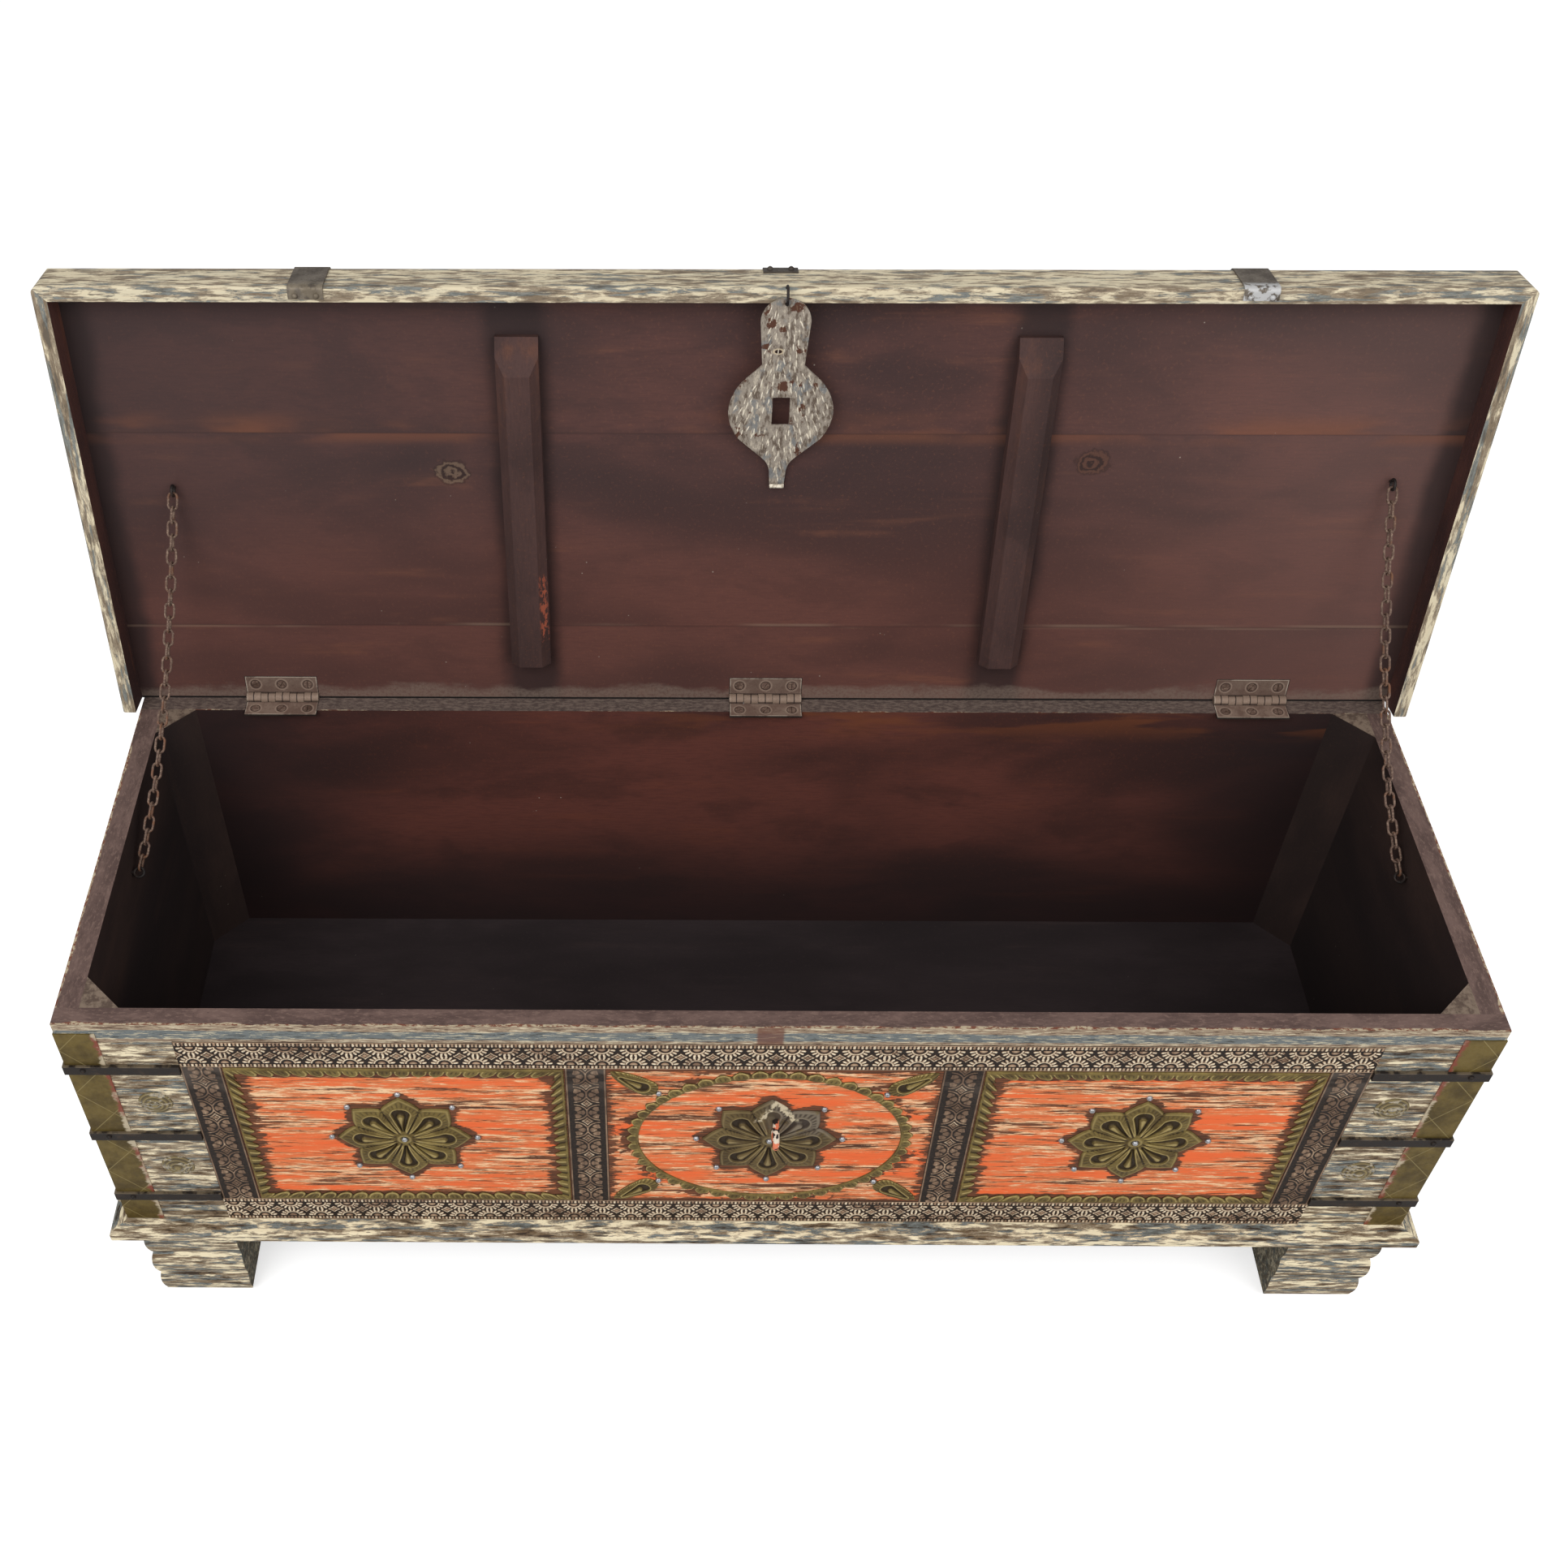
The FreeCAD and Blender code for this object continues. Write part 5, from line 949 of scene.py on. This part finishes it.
def scale_relief(c, depth, reach, slanted):
    """One scallop: c is -0.5 to 0.5 across it, depth runs from the plain edge to its tip, in mm."""
    share = depth / reach
    if slanted:
        # upright sides: dark leaves, each with one bright rib that sweeps outward
        skew = (c + 0.42 * share + 0.5) % 1 - 0.5
        rib = ridge(skew - 0.10, 0.13) * smooth(0.12, 0.3, share)
        body = 1 - smooth(0.22, 0.46, np.abs(skew - 0.08))
        fold = ridge(np.abs(skew) - 0.5, 0.14)
        height = 0.5 + 0.8 * body + 0.45 * rib - 0.25 * fold
        level = 0.26 + 0.24 * body + 0.5 * rib - 0.2 * fold
    else:
        # level sides and the oval: shields with a bright outline and a small rib
        off = np.hypot(c / 0.5, (share - 0.42) / 0.56)
        gap = smooth(0.38, 0.48, np.abs(c)) * smooth(0.25, 0.45, share)
        outline = ridge(off - 0.80, 0.20) * smooth(0.12, 0.3, share)
        rib = ridge(c, 0.10) * smooth(0.2, 0.35, share) * (1 - smooth(0.62, 0.78, share))
        height = 0.5 + 0.9 * np.sqrt(np.clip(1 - (off * 0.95) ** 2, 0, 1)) + 0.4 * outline - 0.5 * gap
        level = 0.42 - 0.30 * (1 - smooth(0.15, 0.6, off)) + 0.45 * outline + 0.45 * rib - 0.42 * gap
    border = ridge(depth - 1.2, 1.0)
    level = np.maximum(level, 0.72 * border)
    return np.maximum(height, 0.3) + 0.25 * border, np.clip(level, 0, 1)


def trims(material):
    low, high = FRAME_LOW / MM, FRAME_HIGH / MM
    width, edge, band, reach = STRIP / MM, 1.0, 7.0, 5.5
    inner = POST / MM + width / 2 + edge
    outer = FRAME_HALF / MM - width - edge
    bottom, top = low + width + edge, high - width - edge
    for label, side in (("left", -1), ("right", 1)):
        middle = side * (inner + outer) / 2, (bottom + top) / 2
        halves = (outer - inner) / 2, (top - bottom) / 2
        sides = []
        for corner in range(4):
            level_side = corner % 2 == 0
            length, far = (halves[0], halves[1]) if level_side else (halves[1], halves[0])
            pitch = 15.0 if level_side else 12.3
            free = 2 * (length - band)
            count = max(1, round((free - pitch) / pitch))
            pitch = free / (count + 1)
            q = np.linspace(-1, 1, round(2 * length / 0.9), endpoint=False)[:, None]
            phase = (q * (length - band) / pitch - 0.5 * count) % 1 - 0.5
            at_corner = np.abs(q) * (length - band) > (length - band) - pitch / 2
            way = 1 if corner in (0, 1) else -1
            slant = phase * (-1 if corner == 3 else 1)
            lag, power = (0.0, 1.5) if level_side else (0.3, 1.2)
            swell = 1 - np.abs(2 * ((slant + lag + 0.5) % 1 - 0.5)) ** power
            swell = np.where(at_corner, 0.25, swell)
            tip = band + reach * swell
            share = np.linspace(0, 1, 12)[None, :]
            depth = share * tip
            height, level = scale_relief(slant + 0 * depth, depth, band + reach, not level_side)
            height = height * smooth(0, 0.9, depth) * (1 - 0.45 * smooth(0.86, 1.0, share)) + 0.25
            run = q * (length - depth) * way
            if level_side:
                x, z = run, (-far + depth) * way
            else:
                x, z = (far - depth) * way, run
            sides.append((middle[0] + x, middle[1] + z, height, level))
        parts = [shell(*(np.vstack(a) for a in zip(*sides)), wrap=True)]
        piece(f"scallop_trim_{label}_relief", parts, material, [f"scallop_trim_{label}"])


def oval_trim(material):
    half_x, half_z, band, reach, lobes = 126.0, 100.0, 6.0, 5.5, 47
    angle = np.linspace(0, 2 * math.pi, lobes * 18, endpoint=False)[:, None]
    phase = angle / (2 * math.pi) * lobes % 1 - 0.5
    tip = band + reach * (1 - np.abs(2 * phase) ** 1.2)
    depth = np.linspace(0, 1, 12)[None, :] * tip
    height, level = scale_relief(phase + 0 * depth, depth, band + reach, False)
    height = height * smooth(0, 0.9, depth) * (1 - 0.45 * smooth(0.86, 1.0, depth / tip)) + 0.25
    x = (half_x - band + depth) * np.cos(angle)
    z = MIDDLE / MM + (half_z - band + depth) * np.sin(angle)
    parts = [shell(x, z, height, level, wrap=True)]
    piece("scallop_ring_relief", parts, material, ["scallop_ring"])


def drop_distance(along, across, first, last, thin, thick, bend=1.0):
    """How far a point lies outside a drop that widens from first to last."""
    share = np.clip((along - first) / (last - first), 0, 1)
    radius = thin + (thick - thin) * share ** bend
    return np.hypot(along - (first + share * (last - first)), across) - radius


def drop_relief(drop, moat, drop_edge, moat_edge, lip_edge):
    """The share of a raised drop, of the channel round it and of the channel's lip."""
    inside = 1 - smooth(*drop_edge, drop)
    channel = (1 - smooth(*moat_edge, moat)) * (1 - inside)
    return inside, channel, ridge(moat - lip_edge, lip_edge + 0.2)


DEGREE = 0.01745


def rosettes(material, middle_material):
    steps = 40
    turns = (np.arange(8 * steps) / steps * 45 - 22.5)[:, None]
    petal = np.round(turns / 45)
    off = turns - petal * 45
    way = np.abs(off) / 22.5
    outline = 47 + 15 * (0.45 * (1 - way) ** 3 + 0.55 * (1 - way ** 2))
    share = np.linspace(0, 1, 60)[None, :] ** 0.9
    r = 1.7 + share * (outline - 1.7)
    phi = np.radians(off)
    along, across = r * np.cos(phi), r * np.sin(phi)
    t = r / outline
    dome = 0.5 + 2.5 * np.sqrt(np.clip(1 - t ** 2.2, 0, 1))
    dome += 1.1 * (1 - way ** 3) * smooth(0.1, 0.5, t) * (1 - t ** 6)
    to_seam = (22.5 - np.abs(off)) * r * DEGREE
    for label, across_place in (("left", -ROSETTE / MM), ("centre", 0.0), ("right", ROSETTE / MM)):
        drop = drop_distance(along, across, 14, 36, 0.7, 3.9, 1.4)
        moat = drop_distance(along, across, 12, 38, 1.6, 8.4, 1.2)
        inside, channel, lip = drop_relief(drop, moat, (-1.2, 0.5), (-0.9, 0.4), 1.0)
        if label == "centre":
            bare = petal % 8 == 2
            inside = np.where(bare, 0, inside)
            channel = np.where(bare, 0.3 * channel, channel)
        lip = lip * smooth(9, 14, r)
        angle = np.arctan2(across, along - 30)
        hatch = np.cos(angle * 30) * smooth(1.8, 3.2, moat) * (1 - smooth(0.90, 0.94, t)) * smooth(26, 34, r)
        rays = ridge(to_seam - 1.3, 1.0) * smooth(8, 12, r) * (1 - smooth(24, 34, r))
        height = dome + 1.5 * inside - 1.7 * channel + 0.6 * lip + 0.24 * hatch + 0.5 * rays
        height -= 0.9 * ridge(to_seam, 0.9) * smooth(10, 20, r)
        border = ridge(t - 0.955, 0.04)
        height += 0.35 * border
        boss = ridge(r - 5.4, 2.8)
        height = np.where(r < 8.2, 2.5 + 1.2 * boss, height)
        height = np.maximum(height, 0.35)
        level = 0.44 - 0.5 * channel + 0.4 * inside * smooth(-0.2, -3.0, drop) + 0.4 * lip + 0.26 * hatch
        level += 0.3 * border + 0.4 * rays - 0.45 * ridge(to_seam, 1.5)
        level = np.where(r < 8.2, 0.35 + 0.4 * boss, np.clip(level, 0, 1))
        x = across_place + r * np.cos(np.radians(turns))
        z = MIDDLE / MM + r * np.sin(np.radians(turns))
        chosen = middle_material if label == "centre" else material
        piece(f"rosette_{label}_relief", [shell(x, z, height, level, wrap=True)], chosen,
              [f"rosette_{label}"])


def leaves(material):
    belly, half, end = 39.0, 11.0, 50.0
    parts = []
    root_x = POST / MM - STRIP / MM / 2 - 4.0
    rise = (FRAME_HIGH - FRAME_LOW) / MM / 2 - STRIP / MM - 4.0
    share = (1 - np.cos(np.linspace(0.04, math.pi - 0.02, 84))) / 2
    s = (share * end)[:, None]
    w = np.where(s < belly, half * np.clip(1 - (1 - s / belly) ** 2, 0, 1) ** (2 / 3),
                 np.sqrt(np.clip(half ** 2 - (s - belly) ** 2, 0.02, None)))
    v = np.linspace(-1, 1, 40)[None, :]
    across = v * w
    along = s + 0 * across
    drop = drop_distance(along, across, 15, 31, 0.6, 2.9, 1.2)
    moat = drop_distance(along, across, 11, 34.5, 1.2, 6.6, 1.1)
    inside, channel, lip = drop_relief(drop, moat, (-1.1, 0.4), (-0.8, 0.4), 0.9)
    angle = np.arctan2(across, along - 26)
    hatch = np.cos(angle * 36) * smooth(1.4, 2.4, moat)
    height = 0.5 + 2.0 * np.sqrt(np.clip(1 - v ** 2, 0, 1)) * smooth(0, 8, along)
    height += 1.1 * inside - 1.3 * channel + 0.45 * lip + 0.2 * hatch
    level = 0.42 - 0.5 * channel + 0.35 * inside + 0.45 * lip + 0.25 * hatch
    level = np.clip(level + 0.3 * ridge(np.abs(v) - 0.93, 0.07), 0, 1)
    for x_sign, z_sign in ((-1, 1), (-1, -1), (1, 1), (1, -1)):
        slant = math.radians(37)
        way = np.array([-x_sign * math.cos(slant), -z_sign * math.sin(slant)])
        cross = np.array([-way[1], way[0]])
        x = x_sign * root_x + along * way[0] + across * cross[0]
        z = MIDDLE / MM + z_sign * rise + along * way[1] + across * cross[1]
        parts.append(shell(x, z, np.maximum(height, 0.3), level))
    piece("corner_leaf_relief", parts, material, ["corner_leaves"])


# the photo's studs stand a little wider than the nodes they dress
STUD_SCALE = 1.28


def studs(material):
    radii = [0.3, 1.6, 2.8, 3.4, 4.2, 5.2, 6.2, 6.8, 7.4, 8.4, 9.2, 9.8, 10.6, 11.4, 12.0]
    rises = [4.6, 4.5, 4.0, 2.9, 3.3, 3.5, 3.1, 2.2, 2.5, 2.6, 2.2, 1.3, 1.6, 1.3, 0.3]
    level = [0.9, 0.8, 0.6, 0.0, 0.6, 0.9, 0.5, 0.0, 0.6, 0.9, 0.4, 0.0, 0.7, 0.8, 0.3]
    parts = []
    low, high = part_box("brass_studs")
    for x in (low.x / MM + radii[-1], high.x / MM - radii[-1]):
        for z in (low.z / MM + radii[-1], high.z / MM - radii[-1]):
            parts.append(lathe(x, z, STUD_SCALE * np.array(radii), rises, level))
    piece("stud_rings", parts, material, ["brass_studs"])


def folding_chains():
    """The chains' links, as copies of the imported chains that ride on the chest."""
    for side, run in (("left", 42), ("right", -27)):
        node = bpy.data.objects[f"chain_{side}"]
        item = add_object(f"chain_{side}_links", node.data.copy())
        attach(item, "chest")
        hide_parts(f"chain_{side}")
        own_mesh(item)


def hasp_details(material):
    """Engraved strokes that stand off the hasp's face, and its rolled tail."""
    low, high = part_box("hasp_plate")
    middle, face = (low.x + high.x) / 2 / MM, low.y / MM
    top, tail = high.z / MM, low.z / MM
    down = [0, 6, 21.5, 66, 77, 112, 140.5, 161, 174.5, 190]
    half = [6, 15, 21.5, 18.4, 29.7, 46.6, 36.6, 14, 7.6, 6.5]
    slot_top, slot_low, tail_half = 97.5, 126.5, 6.5
    rows, row_pitch, stroke_pitch, stroke_half, sides = 22, 7.9, 4.9, 0.62, 10
    random = np.random.default_rng(7)
    points, faces, relief = [], [], []
    ring = np.linspace(0, 2 * math.pi, sides, endpoint=False)
    for row in range(rows):
        drop = 10 + row * row_pitch
        reach = np.interp(drop, down, half) - 2.6
        count = max(1, int(2 * reach / stroke_pitch))
        for k in range(count + 1):
            x = -reach + 2 * reach * k / count + random.uniform(-0.7, 0.7)
            z = drop + random.uniform(-1.6, 1.6) + (3.1 if k % 2 else 0)
            length = random.uniform(3.0, 4.6)
            lean = math.copysign(random.uniform(0.16, 0.42), x) * (1.25 if abs(x) > reach * 0.7 else 0.5)
            lean += random.uniform(-0.12, 0.12)
            in_slot = abs(x) < 11 and slot_top - 4 < z < slot_low + 4
            near_ring = abs(x) < 6 and z < 20
            ends = [(x - s * length * math.sin(lean), z - s * length * math.cos(lean)) for s in (-1, 1)]
            outside = any(abs(a) > np.interp(b, down, half) - 1.6 or b > 184 for a, b in ends)
            if in_slot or near_ring or outside or random.uniform() < 0.14:
                continue
            base = len(points)
            for scale, rise in ((1.0, -0.06), (0.45, 0.32)):
                for turn in ring:
                    a, b = stroke_half * scale * math.cos(turn), length * scale * math.sin(turn)
                    across = x + a * math.cos(lean) - b * math.sin(lean)
                    up = -z + a * math.sin(lean) + b * math.cos(lean)
                    points.append(((middle + across) * MM, (face - rise) * MM, (top + up) * MM))
                    relief.append(0.35 if rise < 0 else 1.0)
            low_ring, high_ring = range(base, base + sides), range(base + sides, base + 2 * sides)
            faces += [list(reversed(low_ring)), list(high_ring)]
            faces += [[low_ring[n - 1], low_ring[n], high_ring[n], high_ring[n - 1]] for n in range(1, sides)]
            faces.append([low_ring[-1], low_ring[0], high_ring[0], high_ring[-1]])
    # the tail's end, rolled forward
    start = len(points)
    turns = np.linspace(0, math.radians(250), 12)
    for x in (-tail_half, 0.5 - tail_half, tail_half - 0.5, tail_half):
        shrink = 0.2 if abs(x) == tail_half else 0.0
        for radius in (2.3 - shrink, 1.1 + shrink):
            for turn in turns:
                points.append(((middle + x) * MM, (face - 1.5 + radius * math.cos(turn)) * MM,
                               (tail + 0.9 - radius * math.sin(turn)) * MM))
                relief.append(0.8)
    size = len(turns)
    for strip in range(3):
        near, far = start + strip * 2 * size, start + (strip + 1) * 2 * size
        for n in range(size - 1):
            faces.append([near + n, near + n + 1, far + n + 1, far + n])
            faces.append([far + size + n, far + size + n + 1, near + size + n + 1, near + size + n])
        faces.append([near, far, far + size, near + size])
        faces.append([near + size - 1, near + 2 * size - 1, far + 2 * size - 1, far + size - 1])
    for side, flip in ((start, False), (start + 6 * size, True)):
        for n in range(size - 1):
            item = [side + n, side + size + n, side + size + n + 1, side + n + 1]
            faces.append(item[::-1] if flip else item)
    mesh = bpy.data.meshes.new("hasp_engraving")
    mesh.from_pydata(points, [], faces)
    mesh.attributes.new("relief", "FLOAT", "POINT").data.foreach_set("value", relief)
    mesh.materials.append(material)
    item = add_object("hasp_engraving", mesh)
    outward = bmesh.new()
    outward.from_mesh(mesh)
    bmesh.ops.recalc_face_normals(outward, faces=outward.faces)
    outward.to_mesh(mesh)
    outward.free()
    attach(item, "hasp")


sheet_look = embossed("embossed_sheet", 1.0)
embossed_strips(sheet_look, embossed("embossed_stile_sheet", 0.0))
brass_look = brass("brass_relief", 1.0, relief="relief")
trims(brass_look)
oval_trim(brass_look)
rosettes(brass_look, middle_rosette())
leaves(brass_look)
studs(brass("stud_relief", 0.95, relief="relief", paint=0.75, grey=0.4))
hasp_details(hasp_paint("hasp_stroke_paint", True))


# Floor, light and camera

WHITE = (1, 1, 1, 1)
FLOOR_GREY, FLOOR_GLOW, FLOOR_HALF = 0.8, 0.56, 30.0
WORLD_LIGHT = 0.52
LAMP_SIZE, LAMP_TARGET = 2.2, (0, 0, 0.4)

# the view fitted to the photo: pixels of the photo, metres and degrees
PHOTO_SIZE = 1932
FOCAL_LENGTH = 2212.84
VIEW_CENTRE = (799.51, 1096.45)
CAMERA_PLACE = (-0.09871, FRONT - 0.92970, RIM + 1.21379)
PITCH, YAW, ROLL = -48.18, 0.66, -0.254


def floor():
    mesh = bpy.data.meshes.new("floor")
    corners = [(x * FLOOR_HALF, y * FLOOR_HALF, 0) for x, y in ((-1, -1), (1, -1), (1, 1), (-1, 1))]
    mesh.from_pydata(corners, [], [(0, 1, 2, 3)])
    item = add_object("floor", mesh)
    item.location.z = -0.5 * MM
    p = Paint("floor_paint")
    p.finish((FLOOR_GREY, FLOOR_GREY, FLOOR_GREY, 1), 0.9)
    # the eye sees the pale floor a little lighter, so that it is white where no shadow falls
    glow = p.output("ShaderNodeLightPath", "Is Camera Ray") * FLOOR_GLOW
    p.shader.inputs["Emission Color"].default_value = WHITE
    p.put(p.shader.inputs["Emission Strength"], glow)
    mesh.materials.append(p.material)


def world():
    """White to the camera, softer as a light."""
    item = bpy.data.worlds.new("studio")
    item.use_nodes = True
    tree = item.node_tree
    tree.nodes.clear()
    out = tree.nodes.new("ShaderNodeOutputWorld")
    path = tree.nodes.new("ShaderNodeLightPath")
    mix = tree.nodes.new("ShaderNodeMixShader")
    tree.links.new(path.outputs["Is Camera Ray"], mix.inputs[0])
    for place, strength in ((1, WORLD_LIGHT), (2, 1.0)):
        light = tree.nodes.new("ShaderNodeBackground")
        light.inputs[0].default_value = WHITE
        light.inputs[1].default_value = strength
        tree.links.new(light.outputs[0], mix.inputs[place])
    tree.links.new(mix.outputs[0], out.inputs[0])
    bpy.context.scene.world = item


def lamp(name, place, power):
    data = bpy.data.lights.new(name, "AREA")
    data.shape = "SQUARE"
    data.size = LAMP_SIZE
    data.energy = power
    item = add_object(name, data)
    item.location = place
    item.rotation_mode = "QUATERNION"
    item.rotation_quaternion = (Vector(LAMP_TARGET) - Vector(place)).to_track_quat("-Z", "Y")


def camera():
    data = bpy.data.cameras.new("photo_view")
    data.sensor_width = 36.0
    data.lens = FOCAL_LENGTH / PHOTO_SIZE * data.sensor_width
    data.shift_x = (PHOTO_SIZE / 2 - VIEW_CENTRE[0]) / PHOTO_SIZE
    data.shift_y = (VIEW_CENTRE[1] - PHOTO_SIZE / 2) / PHOTO_SIZE
    data.clip_start, data.clip_end = 0.05, 100
    item = add_object("photo_view", data)
    item.location = CAMERA_PLACE
    turn = Matrix.Rotation(math.radians(YAW), 4, "Z")
    turn = turn @ Matrix.Rotation(math.radians(90 + PITCH), 4, "X")
    turn = turn @ Matrix.Rotation(math.radians(ROLL), 4, "Z")
    item.rotation_mode = "QUATERNION"
    item.rotation_quaternion = turn.to_quaternion()
    bpy.context.scene.camera = item


folding_chains()
floor()
world()
lamp("key", (-1.6, -2.4, 3.2), 66)
lamp("fill", (1.8, -2.0, 2.6), 34)
camera()
bpy.context.scene.view_settings.view_transform = "Standard"
